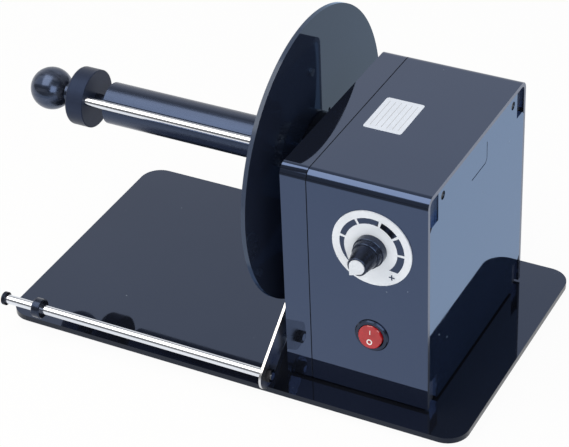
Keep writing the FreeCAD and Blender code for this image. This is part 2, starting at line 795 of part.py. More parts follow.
def make_flange_disc():
    body = new_body("flange_disc", SPINDLE)
    tube(body, FLANGE_LEFT, "Sizes.flange_wall", mm.flange_radius, mm.spindle_radius,
         "Sizes.flange_radius", "Sizes.spindle_radius")
    holes(body, "X", FLANGE_LEFT, "Sizes.flange_wall", [ROD_AT], mm.rod_radius + mm.rod_play,
          "Sizes.rod_radius + Sizes.rod_play")
    holes(body, "X", FLANGE_RIGHT - mm.flange_wall * 0.6, "Sizes.flange_wall * 0.6",
          hub_screw_places(), mm.screw_radius + mm.screw_play,
          "Sizes.screw_radius + Sizes.screw_play")


def hub_screw_places():
    """Round the spindle, between the directions of the clamp rod."""
    turns = [math.radians(45 + 360 * step / HUB_SCREWS) for step in range(HUB_SCREWS)]
    return [(mm.hub_screw_circle * math.cos(turn), mm.hub_screw_circle * math.sin(turn))
            for turn in turns]


def make_flange_hub():
    body = new_body("flange_hub", SPINDLE)
    tube(body, FLANGE_RIGHT, "Sizes.hub_length", mm.hub_radius, mm.spindle_radius,
         "Sizes.hub_radius", "Sizes.spindle_radius")
    holes(body, "X", FLANGE_RIGHT, "Sizes.hub_length", hub_screw_places(),
          mm.screw_radius + mm.screw_play, "Sizes.screw_radius + Sizes.screw_play")
    holes(body, "X", FLANGE_RIGHT, "Sizes.rod_tail + 1.0", [ROD_AT], mm.rod_radius + mm.rod_play,
          "Sizes.rod_radius + Sizes.rod_play")


def make_hub_screws():
    body = screws("hub_screws", "X", hub_screw_places(), HUB_RIGHT, -1,
                  mm.hub_length + mm.flange_wall * 0.5)
    body.Placement = Placement(SPINDLE, Rotation())


def make_shaft_collar():
    """The set ring that keeps the spindle against its front bearing."""
    body = new_body("shaft_collar", SPINDLE)
    right = LEFT - mm.bearing_lip - 0.4
    left = right - mm.ring_length
    tube(body, left, "Sizes.ring_length", mm.ring_radius, mm.spindle_radius, "Sizes.ring_radius",
         "Sizes.spindle_radius")
    cut(body, "Z", mm.spindle_radius, mm.ring_radius - mm.spindle_radius + 1.0,
        lambda sketch: draw_circle(sketch, ((left + right) / 2, 0), 2.0))


def make_mandrel():
    body = new_body("mandrel", SPINDLE)
    tube(body, MANDREL_LEFT, "Sizes.mandrel_length", mm.mandrel_radius, 0.0,
         "Sizes.mandrel_radius")
    holes(body, "X", FLANGE_LEFT - mm.spindle_nose, "Sizes.spindle_nose", [(0, 0)],
          mm.spindle_radius, "Sizes.spindle_radius")
    holes(body, "X", MANDREL_LEFT, "Sizes.mandrel_length - Sizes.spindle_nose", [(0, 0)],
          mm.pin_radius + mm.pin_play, "Sizes.pin_radius + Sizes.pin_play")
    # the groove that the clamp rod lies in, open along the whole mandrel
    holes(body, "X", MANDREL_LEFT, "Sizes.mandrel_length", [ROD_AT],
          mm.rod_radius + mm.rod_play, "Sizes.rod_radius + Sizes.rod_play")


# Pull-out clamp

def make_clamp_rod():
    body = new_body("clamp_rod", SPINDLE + Vector(0, ROD_AT[0], ROD_AT[1]))
    left = CLAMP_RIGHT - mm.clamp_seat
    right = FLANGE_RIGHT + mm.rod_tail
    radius = mm.rod_radius

    def draw(sketch):
        draw_line(sketch, (left, 0), (left, radius))
        draw_line(sketch, (left, radius), (right - radius, radius))
        draw_arc(sketch, (right - radius, 0), radius, 0, 90)
        draw_line(sketch, (right, 0), (left, 0))

    spin(body, draw)


def make_core_pin():
    body = new_body("core_pin", SPINDLE)
    tube(body, BALL_MIDDLE, "Sizes.pin_length", mm.pin_radius, 0.0, "Sizes.pin_radius")


def make_clamp_collar():
    body = new_body("clamp_collar", SPINDLE)
    left = CLAMP_LEFT
    right = CLAMP_RIGHT
    radius = mm.clamp_radius
    outer = mm.clamp_round
    inner = mm.clamp_edge
    bore = mm.pin_radius

    def draw(sketch):
        draw_line(sketch, (left, bore), (left, radius - outer))
        draw_arc(sketch, (left + outer, radius - outer), outer, 90, 180)
        draw_line(sketch, (left + outer, radius), (right - inner, radius))
        draw_arc(sketch, (right - inner, radius - inner), inner, 0, 90)
        draw_line(sketch, (right, radius - inner), (right, bore))
        draw_line(sketch, (right, bore), (left, bore))

    spin(body, draw)
    holes(body, "X", right - mm.clamp_seat, "Sizes.clamp_seat", [ROD_AT], mm.rod_radius,
          "Sizes.rod_radius")


def make_ball_knob():
    body = new_body("ball_knob", SPINDLE)
    bore = mm.pin_radius
    radius = mm.ball_radius
    neck = mm.ball_neck_radius
    middle = BALL_MIDDLE
    neck_start = middle + math.sqrt(radius ** 2 - neck ** 2)
    neck_turn = math.degrees(math.atan2(neck, neck_start - middle))

    def draw(sketch):
        draw_line(sketch, (middle - radius, 0), (middle, 0))
        draw_line(sketch, (middle, 0), (middle, bore))
        draw_line(sketch, (middle, bore), (CLAMP_LEFT, bore))
        draw_line(sketch, (CLAMP_LEFT, bore), (CLAMP_LEFT, neck))
        draw_line(sketch, (CLAMP_LEFT, neck), (neck_start, neck))
        draw_arc(sketch, (middle, 0), radius, neck_turn, 180)

    spin(body, draw)


# Gear pair and gear motor

def make_spindle_gear():
    body = new_body("spindle_gear", SPINDLE)
    grow(body, "X", GEAR_LEFT, "Sizes.gear_width",
         lambda sketch: draw_outline(sketch, gear_outline(mm.gear_teeth, -math.pi / 2)))
    tube(body, GEAR_LEFT + mm.gear_width, "Sizes.gear_boss_length", mm.gear_boss_radius, 0.0,
         "Sizes.gear_boss_radius")
    holes(body, "X", GEAR_LEFT, "Sizes.gear_width + Sizes.gear_boss_length", [(0, 0)],
          mm.spindle_radius, "Sizes.spindle_radius")
    window = holes(body, "X", GEAR_LEFT, "Sizes.gear_width", [(mm.gear_window_circle, 0)],
                   mm.gear_window_radius, "Sizes.gear_window_radius")
    repeat(body, window, "X_Axis", mm.gear_windows)


def make_pinion():
    body = new_body("pinion", MOTOR)
    left = GEAR_LEFT - (mm.pinion_width - mm.gear_width) / 2
    half_tooth = math.pi / mm.pinion_teeth
    grow(body, "X", left, "Sizes.pinion_width",
         lambda sketch: draw_outline(sketch, gear_outline(mm.pinion_teeth,
                                                          math.pi / 2 + half_tooth)))
    holes(body, "X", left, "Sizes.pinion_width", [(0, 0)], mm.output_radius, "Sizes.output_radius")


def make_output_shaft():
    body = new_body("output_shaft", MOTOR)
    tube(body, GEAR_LEFT - 2.0, "Sizes.output_length", mm.output_radius, 0.0,
         "Sizes.output_radius")


def make_gearbox():
    body = new_body("gearbox", MOTOR)
    tube(body, PLATE_RIGHT, "Sizes.gearbox_length", mm.gearbox_radius, 0.0, "Sizes.gearbox_radius")
    tube(body, PLATE_LEFT, "Sizes.plate_wall", mm.gearbox_boss_radius, 0.0,
         "Sizes.gearbox_boss_radius")
    bore_end = GEAR_LEFT - 2.0 + mm.output_length + 1.0
    holes(body, "X", PLATE_LEFT, bore_end - PLATE_LEFT, [(0, 0)],
          mm.output_radius + mm.running_play, "Sizes.output_radius + Sizes.running_play")
    at_motor = [(y - MOTOR.y, z - MOTOR.z) for y, z in motor_screw_places()]
    holes(body, "X", PLATE_RIGHT, "Sizes.screw_bite", at_motor, mm.screw_radius + mm.screw_play,
          "Sizes.screw_radius + Sizes.screw_play")


def make_motor_can():
    body = new_body("motor_can", MOTOR)
    left = PLATE_RIGHT + mm.gearbox_length
    right = left + mm.motor_length
    radius = mm.motor_radius
    edge = 2.0
    boss = 5.0

    def draw(sketch):
        draw_line(sketch, (left, 0), (left, radius))
        draw_line(sketch, (left, radius), (right - edge, radius))
        draw_line(sketch, (right - edge, radius), (right, radius - edge))
        draw_line(sketch, (right, radius - edge), (right, boss))
        draw_line(sketch, (right, boss), (right + edge, boss))
        draw_line(sketch, (right + edge, boss), (right + edge, 0))
        draw_line(sketch, (right + edge, 0), (left, 0))

    spin(body, draw)


def motor_screw_places():
    """Four places round the output shaft, clear of the gear boss."""
    turns = [math.radians(45 + 90 * step) for step in range(4)]
    return [(MOTOR.y + mm.motor_screw_circle * math.cos(turn),
             MOTOR.z + mm.motor_screw_circle * math.sin(turn)) for turn in turns]


def make_motor_screws():
    screws("motor_screws", "X", motor_screw_places(), PLATE_LEFT - mm.screw_head_height, 1,
           mm.plate_wall + mm.screw_bite - 1.0)


# Dancer arm: the pieces on the arm are drawn with the arm level and turned to its rest angle

def make_dancer_arm():
    body = new_body("dancer_arm", PIVOT, ARM_TURN)
    half = mm.arm_width / 2

    def draw(sketch):
        draw_line(sketch, (0, -half), (-mm.arm_length, -half))
        draw_arc(sketch, (-mm.arm_length, 0), half, 90, 270)
        draw_line(sketch, (-mm.arm_length, half), (0, half))
        draw_arc(sketch, (0, 0), half, -90, 90)
        draw_circle(sketch, (0, 0), mm.pivot_neck_radius, "Sizes.pivot_neck_radius")
        draw_circle(sketch, (-mm.arm_length, 0), mm.guide_stub_radius, "Sizes.guide_stub_radius")

    grow(body, "X", ARM_LEFT, "Sizes.arm_wall", draw)


def make_pivot_shaft():
    """The stepped shaft that the arm is clamped to, which turns in the bush."""
    body = new_body("pivot_shaft", PIVOT)
    collar = LEFT - mm.bush_lip - 0.3
    right = WALL_IN + mm.pivot_inside
    left = ARM_LEFT - mm.nut_height - 0.6
    neck = mm.pivot_neck_radius
    wide = mm.pivot_collar_radius
    radius = mm.pivot_radius

    def draw(sketch):
        draw_outline(sketch, [(left, 0), (left, neck), (ARM_RIGHT, neck), (ARM_RIGHT, wide),
                              (collar, wide), (collar, radius), (right, radius), (right, 0)])

    spin(body, draw)


def make_hex_nut(name, place, left, flats, bore, turn=Rotation()):
    """A hexagon nut along X, from left."""
    body = new_body(name, place, turn)

    def draw(sketch):
        draw_hexagon(sketch, (0, 0), flats)
        draw_circle(sketch, (0, 0), bore)

    grow(body, "X", left, "Sizes.nut_height", draw)


def make_arm_bush():
    body = new_body("arm_bush", PIVOT)
    bore = mm.pivot_radius + mm.running_play
    lip = mm.bush_radius + mm.bush_lip

    def draw(sketch):
        draw_outline(sketch, [(LEFT - mm.bush_lip, bore), (LEFT - mm.bush_lip, lip), (LEFT, lip),
                              (LEFT, mm.bush_radius), (LEFT + mm.bush_length, mm.bush_radius),
                              (LEFT + mm.bush_length, bore)])

    spin(body, draw)


def make_stop_pin():
    body = new_body("stop_pin")
    grow(body, "X", LEFT - mm.stop_reach, "Sizes.stop_reach + Sizes.side_wall_thick",
         lambda sketch: draw_circle(sketch, stop_place(), mm.stop_radius, "Sizes.stop_radius"))


def stop_place():
    """Under the resting arm, a small gap below its lower edge."""
    below = mm.arm_width / 2 + mm.stop_radius + mm.stop_play
    place = PIVOT + ARM_TURN.multVec(Vector(0, -mm.stop_along, -below))
    return (place.y, place.z)


def make_sensor_flag():
    """The vane on the inner end of the pivot shaft that the slot sensor sees."""
    body = new_body("sensor_flag", PIVOT)
    spread = mm.flag_spread / 2
    hub = mm.bush_radius
    reach = mm.flag_radius
    low = math.radians(90 - spread)
    high = math.radians(90 + spread)

    def draw(sketch):
        draw_line(sketch, (0, 0), (reach * math.cos(low), reach * math.sin(low)))
        draw_arc(sketch, (0, 0), reach, 90 - spread, 90 + spread)
        draw_line(sketch, (reach * math.cos(high), reach * math.sin(high)), (0, 0))

    grow(body, "X", FLAG_LEFT, "Sizes.flag_wall", draw)
    tube(body, FLAG_LEFT, "Sizes.flag_wall * 3", hub, 0.0, "Sizes.bush_radius")
    holes(body, "X", FLAG_LEFT, "Sizes.flag_wall * 3", [(0, 0)], mm.pivot_radius,
          "Sizes.pivot_radius")


def make_slot_sensor():
    """A fork on the side wall whose slot the vane swings through."""
    body = new_body("slot_sensor", PIVOT)
    slot_left = FLAG_LEFT + mm.flag_wall / 2 - mm.sensor_slot / 2
    slot_right = slot_left + mm.sensor_slot
    right = slot_right + mm.sensor_prong
    foot = mm.flag_radius - 7.0
    web = mm.flag_radius + 1.5
    head = web + mm.sensor_web

    def draw(sketch):
        draw_outline(sketch, [(WALL_IN, foot), (slot_left, foot), (slot_left, web),
                              (slot_right, web), (slot_right, foot), (right, foot), (right, head),
                              (WALL_IN, head)])

    grow(body, "Y", -mm.sensor_width / 2, "Sizes.sensor_width", draw)


def make_guide_rod():
    body = new_body("guide_rod", GUIDE)
    left = ARM_LEFT - mm.guide_reach
    stub = mm.guide_stub_radius
    stub_end = ARM_RIGHT + mm.nut_height + 0.6
    radius = mm.guide_radius

    def draw(sketch):
        draw_outline(sketch, [(left, 0), (left, radius), (ARM_LEFT, radius), (ARM_LEFT, stub),
                              (stub_end, stub), (stub_end, 0)])

    spin(body, draw)


def make_end_cap():
    body = new_body("end_cap", GUIDE)
    right = ARM_LEFT - mm.guide_reach
    left = right - mm.cap_length
    radius = mm.cap_radius
    edge = 0.8

    def draw(sketch):
        draw_line(sketch, (left, 0), (left, radius - edge))
        draw_arc(sketch, (left + edge, radius - edge), edge, 90, 180)
        draw_line(sketch, (left + edge, radius), (right, radius))
        draw_line(sketch, (right, radius), (right, 0))
        draw_line(sketch, (right, 0), (left, 0))

    spin(body, draw)


def make_guide_ring():
    """The ring that slides along the guide rod to the width of the label web."""
    body = new_body("guide_ring", GUIDE)
    left = ARM_LEFT - mm.slider_reach - mm.slider_width / 2
    right = left + mm.slider_width
    bore = mm.guide_radius + mm.slider_play
    radius = mm.slider_radius
    bevel = 0.7

    def draw(sketch):
        draw_outline(sketch, [(left, bore), (left, radius - bevel), (left + bevel, radius),
                              (right - bevel, radius), (right, radius - bevel), (right, bore)])

    spin(body, draw)


# Dial and knob: their frames stand on the front face, with the shaft along Y

def make_dial_plate():
    body = new_body("dial_plate", DIAL)

    def draw(sketch):
        draw_circle(sketch, (0, 0), mm.dial_radius, "Sizes.dial_radius")
        draw_circle(sketch, (0, 0), mm.pot_bush_radius + mm.screw_play,
                    "Sizes.pot_bush_radius + Sizes.screw_play")

    grow(body, "Y", -mm.dial_wall, "Sizes.dial_wall", draw)


def make_pot_body():
    body = new_body("pot_body", DIAL)
    inside = mm.cover_wall
    back = inside + mm.pot_depth
    tip = -mm.pot_bush_length
    bore = mm.pot_shaft_radius + mm.running_play
    floor = back - 1.5

    def draw(sketch):
        draw_outline(sketch, [(tip, bore), (tip, mm.pot_bush_radius),
                              (inside, mm.pot_bush_radius), (inside, mm.pot_radius),
                              (back, mm.pot_radius), (back, 0), (floor, 0), (floor, bore)])

    spin(body, draw, "X")


def make_pot_nut():
    body = new_body("pot_nut", DIAL)

    def draw(sketch):
        draw_hexagon(sketch, (0, 0), mm.pot_nut_flats)
        draw_circle(sketch, (0, 0), mm.pot_bush_radius, "Sizes.pot_bush_radius")

    grow(body, "Y", -mm.dial_wall - mm.pot_nut_height, "Sizes.pot_nut_height", draw)


def make_pot_shaft():
    body = new_body("pot_shaft", DIAL)
    back = mm.cover_wall + mm.pot_depth - 2.0
    front = knob_foot() - mm.knob_length * 0.8
    grow(body, "Y", front, back - front,
         lambda sketch: draw_circle(sketch, (0, 0), mm.pot_shaft_radius, "Sizes.pot_shaft_radius"))


def knob_foot():
    """How far the knob's skirt stands off the front face, measured along Y."""
    return -mm.dial_wall - mm.knob_play


def make_speed_knob():
    """A skirt, a step and a tapered grip, hollow at the foot for the nut, with a seat for the cap."""
    body = new_body("speed_knob", DIAL)
    foot = knob_foot()
    tip = foot - mm.knob_length
    skirt = mm.knob_skirt_radius
    step = mm.knob_step_radius
    grip = mm.knob_tip_radius
    shoulder = foot - mm.knob_skirt_height
    ledge = shoulder - mm.knob_step_height
    cavity = mm.pot_nut_flats / math.sqrt(3) + 0.6
    roof = -mm.dial_wall - mm.pot_nut_height - 1.6
    bore = mm.pot_shaft_radius
    hole_end = foot - mm.knob_length * 0.8 - 0.4
    edge = 0.4

    def draw(sketch):
        draw_outline(sketch, [(foot, cavity), (foot, skirt), (shoulder + edge, skirt),
                              (shoulder, skirt - edge), (shoulder, step), (ledge + edge, step - edge),
                              (ledge, step - 2 * edge), (ledge, mm.knob_foot_radius - edge),
                              (tip + edge, grip), (tip, grip - edge), (tip, 0), (hole_end, 0),
                              (hole_end, bore), (roof, bore), (roof, cavity)])

    spin(body, draw, "X")
    cut(body, "Y", tip - 1.0, 1.0 + mm.knob_cap_seat,
        lambda sketch: draw_pointer(sketch, mm.knob_cap_radius + mm.knob_cap_play,
                                    mm.pointer_reach + 2 * mm.knob_cap_play))


def draw_pointer(sketch, radius, reach):
    """A circle that runs out into a point, which shows the set speed."""
    spread = math.degrees(math.acos(radius / reach))
    start = mm.pointer_turn + spread
    stop = mm.pointer_turn + 360 - spread
    point = polar(reach, mm.pointer_turn)
    draw_arc(sketch, (0, 0), radius, start, stop)
    draw_line(sketch, polar(radius, stop), point)
    draw_line(sketch, point, polar(radius, start))


def polar(radius, turn):
    return (radius * math.cos(math.radians(turn)), radius * math.sin(math.radians(turn)))


def make_knob_cap():
    """The white insert in the knob's tip, with its point reaching past the rim."""
    body = new_body("knob_cap", DIAL)
    seat = knob_foot() - mm.knob_length + mm.knob_cap_seat
    grow(body, "Y", seat - mm.knob_cap_height, "Sizes.knob_cap_height",
         lambda sketch: draw_pointer(sketch, mm.knob_cap_radius, mm.pointer_reach))


# Rocker switch: its frame stands on the front face too

def make_switch_body():
    body = new_body("switch_body", SWITCH)
    front = -mm.switch_bezel_wall
    back = mm.switch_depth
    well = mm.rocker_radius + mm.rocker_well_play
    floor = mm.switch_well_depth
    edge = 0.8

    def draw(sketch):
        draw_outline(sketch, [(front, well), (front, mm.switch_bezel_radius - edge),
                              (front + edge, mm.switch_bezel_radius), (0, mm.switch_bezel_radius),
                              (0, mm.switch_body_radius), (back, mm.switch_body_radius),
                              (back, 0), (floor, 0), (floor, well)])

    spin(body, draw, "X")
    # seats of the rocker's two pins, in the wall of the well
    length = 2 * (well + mm.rocker_pin_seat)
    holes(body, "X", -length / 2, length, [(mm.rocker_pin_depth, 0)],
          mm.rocker_pin_radius + mm.running_play, "Sizes.rocker_pin_radius + Sizes.running_play")


def make_rocker():
    """A round rocker with a flat face, tilted about its pins so that its upper end is pressed in."""
    pivot = SWITCH + Vector(0, mm.rocker_pin_depth, 0)
    body = new_body("rocker", pivot, Rotation(Vector(-1, 0, 0), mm.rocker_tilt))
    radius = mm.rocker_radius
    face = -mm.rocker_proud
    back = mm.rocker_wall - mm.rocker_proud
    edge = mm.rocker_edge

    def draw(sketch):
        draw_outline(sketch, [(face, 0), (face, radius - edge), (face + edge, radius),
                              (back, radius), (back, 0)])

    spin(body, draw, "X")
    reach = radius + mm.rocker_well_play + mm.rocker_pin_seat - 0.2
    grow(body, "X", -reach, 2 * reach,
         lambda sketch: draw_circle(sketch, (0, 0), mm.rocker_pin_radius,
                                    "Sizes.rocker_pin_radius"))


def make_switch_terminals():
    body = new_body("switch_terminals", SWITCH)

    def draw(sketch):
        for side in (-4.0, 4.0):
            draw_box(sketch, (side - 0.4, -2.4), (side + 0.4, 2.4))

    grow(body, "Y", mm.switch_depth, 8.0, draw)


# Power inlet in the back of the cover

def make_inlet_jack():
    """A round inlet with a centre pin, its lip inside the cover and its thread through it."""
    body = new_body("inlet_jack", INLET)
    wall = mm.cover_wall
    thread = wall + mm.inlet_lip + 1.5
    mouth = thread - wall
    floor = mouth - mm.inlet_bore_depth

    def draw(sketch):
        draw_outline(sketch, [(mouth, mm.inlet_bore_radius), (mouth, mm.inlet_thread_radius),
                              (-wall, mm.inlet_thread_radius), (-wall, mm.inlet_radius),
                              (-wall - mm.inlet_depth, mm.inlet_radius),
                              (-wall - mm.inlet_depth, 0), (mouth - 1.0, 0),
                              (mouth - 1.0, mm.inlet_pin_radius), (floor, mm.inlet_pin_radius),
                              (floor, mm.inlet_bore_radius)])

    spin(body, draw, "X")


def make_inlet_nut():
    body = new_body("inlet_nut", INLET)

    def draw(sketch):
        draw_hexagon(sketch, (0, 0), mm.inlet_nut_flats)
        draw_circle(sketch, (0, 0), mm.inlet_thread_radius, "Sizes.inlet_thread_radius")

    grow(body, "Y", 0.0, "Sizes.inlet_lip", draw)


# Control board on the base

def board_corners():
    inset = mm.board_hole_inset
    return [(x, y) for x in (BOARD_LEFT + inset, BOARD_LEFT + mm.board_length - inset)
            for y in (BOARD_FRONT + inset, BOARD_FRONT + mm.board_depth - inset)]


def make_control_board():
    body = new_body("control_board")
    low = (BOARD_LEFT, BOARD_FRONT)
    high = (BOARD_LEFT + mm.board_length, BOARD_FRONT + mm.board_depth)
    grow(body, "Z", BOARD_FOOT, "Sizes.board_wall", lambda sketch: draw_box(sketch, low, high))
    holes(body, "Z", BOARD_FOOT, "Sizes.board_wall", board_corners(),
          mm.screw_radius + mm.screw_play, "Sizes.screw_radius + Sizes.screw_play")


def make_board_posts():
    """Posts that carry the board, with pegs through its holes."""
    body = new_body("board_posts")

    def draw_posts(sketch):
        for place in board_corners():
            draw_circle(sketch, place, mm.board_post_radius, "Sizes.board_post_radius")

    def draw_pegs(sketch):
        for place in board_corners():
            draw_circle(sketch, place, mm.screw_radius, "Sizes.screw_radius")

    grow(body, "Z", BASE_TOP, "Sizes.board_lift", draw_posts)
    grow(body, "Z", BOARD_FOOT, "Sizes.board_wall + 1.2", draw_pegs)


def make_heat_sink():
    body = new_body("heat_sink")
    left = BOARD_LEFT + mm.board_length - mm.board_hole_inset * 2 - mm.sink_length
    front = BOARD_FRONT + mm.board_hole_inset * 2
    step = (mm.sink_length - mm.fin_wall) / (mm.sink_fins - 1)

    def draw(sketch):
        draw_box(sketch, (left, front), (left + mm.sink_length, front + mm.fin_wall))

    def draw_fins(sketch):
        for fin in range(int(mm.sink_fins)):
            start = left + fin * step
            draw_box(sketch, (start, front + mm.fin_wall), (start + mm.fin_wall, front + mm.fin_depth))

    grow(body, "Z", BOARD_TOP, "Sizes.sink_height", draw)
    grow(body, "Z", BOARD_TOP, "Sizes.sink_height", draw_fins)


def make_terminal_block():
    body = new_body("terminal_block")
    left = BOARD_LEFT + mm.board_hole_inset * 2
    back = BOARD_FRONT + mm.board_depth
    front = back - mm.terminal_depth
    pitch = mm.terminal_length / mm.terminal_ways
    grow(body, "Z", BOARD_TOP, "Sizes.terminal_height",
         lambda sketch: draw_box(sketch, (left, front), (left + mm.terminal_length, back)))
    heads = [(left + pitch * (way + 0.5), (front + back) / 2) for way in range(int(mm.terminal_ways))]
    holes(body, "Z", BOARD_TOP + mm.terminal_height - 2.0, 2.0, heads, pitch * 0.35)
    mouths = [(x, BOARD_TOP + mm.terminal_height * 0.35) for x, y in heads]
    holes(body, "Y", back - 3.0, 3.0, mouths, pitch * 0.3)


def make_all():
    make_base_plate()
    make_feet()
    make_foot_screws()
    make_base_screws()
    make_side_wall()
    make_cover_band()
    make_main_cover()
    make_side_panel()
    make_corner_blocks()
    make_panel_screws()
    make_inner_plate()
    make_plate_spacers()
    make_angle_brackets()
    make_wall_screws()
    make_plate_screws()
    make_bearing("front_bearing", LEFT)
    make_bearing("rear_bearing", PLATE_LEFT)
    make_spindle()
    make_flange_disc()
    make_flange_hub()
    make_hub_screws()
    make_shaft_collar()
    make_mandrel()
    make_clamp_rod()
    make_core_pin()
    make_clamp_collar()
    make_ball_knob()
    make_spindle_gear()
    make_pinion()
    make_output_shaft()
    make_gearbox()
    make_motor_can()
    make_motor_screws()
    make_dancer_arm()
    make_pivot_shaft()
    make_hex_nut("arm_nut", PIVOT, ARM_LEFT - mm.nut_height, mm.arm_nut_flats,
                 mm.pivot_neck_radius, ARM_TURN)
    make_arm_bush()
    make_hex_nut("bush_nut", PIVOT, WALL_IN, mm.bush_nut_flats, mm.bush_radius)
    make_stop_pin()
    make_sensor_flag()
    make_slot_sensor()
    make_guide_rod()
    make_hex_nut("rod_nut", GUIDE, ARM_RIGHT, mm.rod_nut_flats, mm.guide_stub_radius, ARM_TURN)
    make_end_cap()
    make_guide_ring()
    make_dial_plate()
    make_pot_body()
    make_pot_nut()
    make_pot_shaft()
    make_speed_knob()
    make_knob_cap()
    make_switch_body()
    make_rocker()
    make_switch_terminals()
    make_inlet_jack()
    make_inlet_nut()
    make_control_board()
    make_board_posts()
    make_heat_sink()
    make_terminal_block()


def check_all():
    """Stop before anything is written if an object has failed or a sub-part is not sound."""
    for thing in doc.Objects:
        if "Invalid" in thing.State or "Error" in thing.State:
            raise RuntimeError("%s failed: %s" % (thing.Name, thing.State))
    for body in sub_parts():
        if body.Shape.isNull() or not body.Shape.isValid():
            raise RuntimeError("%s has no sound shape" % body.Label)
        if not body.Shape.Solids:
            raise RuntimeError("%s has no solid" % body.Label)


def sub_parts():
    return [thing for thing in doc.Objects if thing.TypeId == "PartDesign::Body"]


make_all()
doc.recompute()
check_all()
for body in sub_parts():
    body.Shape.exportStep(os.path.join("parts", body.Label + ".step"))
print("%d sub-parts written" % len(sub_parts()))
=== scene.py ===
import json
import math

import bmesh
import bpy
from mathutils import Matrix, Vector


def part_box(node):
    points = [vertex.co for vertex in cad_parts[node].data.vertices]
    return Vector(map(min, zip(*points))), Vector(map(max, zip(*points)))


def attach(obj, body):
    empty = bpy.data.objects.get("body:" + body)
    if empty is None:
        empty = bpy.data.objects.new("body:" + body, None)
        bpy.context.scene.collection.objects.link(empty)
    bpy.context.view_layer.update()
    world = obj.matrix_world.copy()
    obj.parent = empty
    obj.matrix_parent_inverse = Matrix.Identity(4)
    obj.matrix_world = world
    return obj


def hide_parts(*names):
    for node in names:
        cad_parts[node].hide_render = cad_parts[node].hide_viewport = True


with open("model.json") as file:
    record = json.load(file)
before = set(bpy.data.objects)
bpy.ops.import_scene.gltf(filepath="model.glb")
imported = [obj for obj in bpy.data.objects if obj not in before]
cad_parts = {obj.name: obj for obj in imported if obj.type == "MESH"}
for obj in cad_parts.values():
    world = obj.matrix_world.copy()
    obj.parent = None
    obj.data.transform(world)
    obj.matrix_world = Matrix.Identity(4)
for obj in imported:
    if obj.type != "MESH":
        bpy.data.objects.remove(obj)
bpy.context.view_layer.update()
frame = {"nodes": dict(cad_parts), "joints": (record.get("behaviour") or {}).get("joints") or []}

MM = 0.001
SHARP_ANGLE = math.radians(32)   # edges that turn more than this stay sharp
BEVEL_ANGLE = math.radians(50)   # edges that turn more than this are rounded
nodes = frame["nodes"]
joints = {joint["name"]: joint for joint in frame["joints"]}


# Procedural finishes

class Finish:
    """One material: a Principled shader and the nodes that feed it."""

    def __init__(self, name, metallic=0.0, ior=1.5, tint=None, coat=0.0, coat_rough=0.05):
        self.material = bpy.data.materials.new(name)
        self.material.use_nodes = True
        self.tree = self.material.node_tree
        self.shader = self.tree.nodes["Principled BSDF"]
        self.shader.inputs["Metallic"].default_value = metallic
        self.shader.inputs["IOR"].default_value = ior
        self.shader.inputs["Coat Weight"].default_value = coat
        self.shader.inputs["Coat Roughness"].default_value = coat_rough
        if tint:
            self.shader.inputs["Specular Tint"].default_value = (*tint, 1)
        self.place = self.add("ShaderNodeTexCoord")
        self.normal = None

    def add(self, kind, inputs=(), **settings):
        node = self.tree.nodes.new(kind)
        for key, value in settings.items():
            setattr(node, key, value)
        for key, value in dict(inputs).items():
            self.put(node.inputs[key], value)
        return node

    def put(self, socket, value):
        """Link an output to a socket, or set the socket's own value."""
        if isinstance(value, bpy.types.NodeSocket):
            self.tree.links.new(value, socket)
        else:
            socket.default_value = value

    def math(self, operation, *values):
        node = self.add("ShaderNodeMath", operation=operation)
        for socket, value in zip(node.inputs, values):
            self.put(socket, value)
        return node.outputs[0]

    def spread(self, value, low, high, first=0.0, last=1.0):
        """Map a value from one range to another, held at both ends."""
        node = self.add("ShaderNodeMapRange", {"Value": value, "From Min": low, "From Max": high,
                                               "To Min": first, "To Max": last})
        return node.outputs["Result"]

    def mix(self, share, low, high):
        node = self.add("ShaderNodeMix", {"Factor": share}, data_type="RGBA")
        for socket, value in zip([s for s in node.inputs if s.type == "RGBA"], (low, high)):
            self.put(socket, value)
        return next(s for s in node.outputs if s.type == "RGBA")

    def stretched(self, stretch):
        """Object coordinates in metres, scaled along each axis."""
        return self.add("ShaderNodeMapping", {"Vector": self.place.outputs["Object"],
                                              "Scale": stretch}).outputs[0]

    def noise(self, cell, stretch=(1, 1, 1), detail=3.0, lift=0.5):
        """Cloudy noise whose cells are that many millimetres across."""
        return self.add("ShaderNodeTexNoise", {"Vector": self.stretched(stretch),
                                               "Scale": 1 / (cell * MM), "Detail": detail,
                                               "Roughness": lift}).outputs["Fac"]

    def specks(self, cell, size, share, seed=0.0):
        """Small round spots, one to a cell at most, on that share of the cells."""
        moved = self.add("ShaderNodeMapping", {"Vector": self.place.outputs["Object"],
                                               "Location": (seed, seed, seed)}).outputs[0]
        cells = self.add("ShaderNodeTexVoronoi", {"Vector": moved, "Scale": 1 / (cell * MM)})
        split = self.add("ShaderNodeSeparateColor", {"Color": cells.outputs["Color"]})
        radius = self.math("MULTIPLY", split.outputs[1], size / cell)
        inside = self.spread(self.math("SUBTRACT", radius, cells.outputs["Distance"]),
                             0.0, 0.2 * size / cell)
        chosen = self.math("LESS_THAN", split.outputs[0], share)
        return self.math("MULTIPLY", inside, chosen)

    def facing(self, axis, low=0.5, high=0.8):
        """One where the surface looks along the axis, either way, and zero elsewhere."""
        split = self.add("ShaderNodeSeparateXYZ", {"Vector": self.place.outputs["Normal"]})
        return self.spread(self.math("ABSOLUTE", split.outputs["XYZ".index(axis)]), low, high)

    def bump(self, height, depth):
        """Relief of that depth in millimetres, on top of the relief before it."""
        inputs = {"Height": height, "Distance": depth * MM, "Strength": 1.0}
        if self.normal is not None:
            inputs["Normal"] = self.normal
        self.normal = self.add("ShaderNodeBump", inputs).outputs["Normal"]
        self.put(self.shader.inputs["Normal"], self.normal)

    def set(self, name, value):
        self.put(self.shader.inputs[name], value)


def rgb(red, green, blue):
    return (red, green, blue, 1.0)


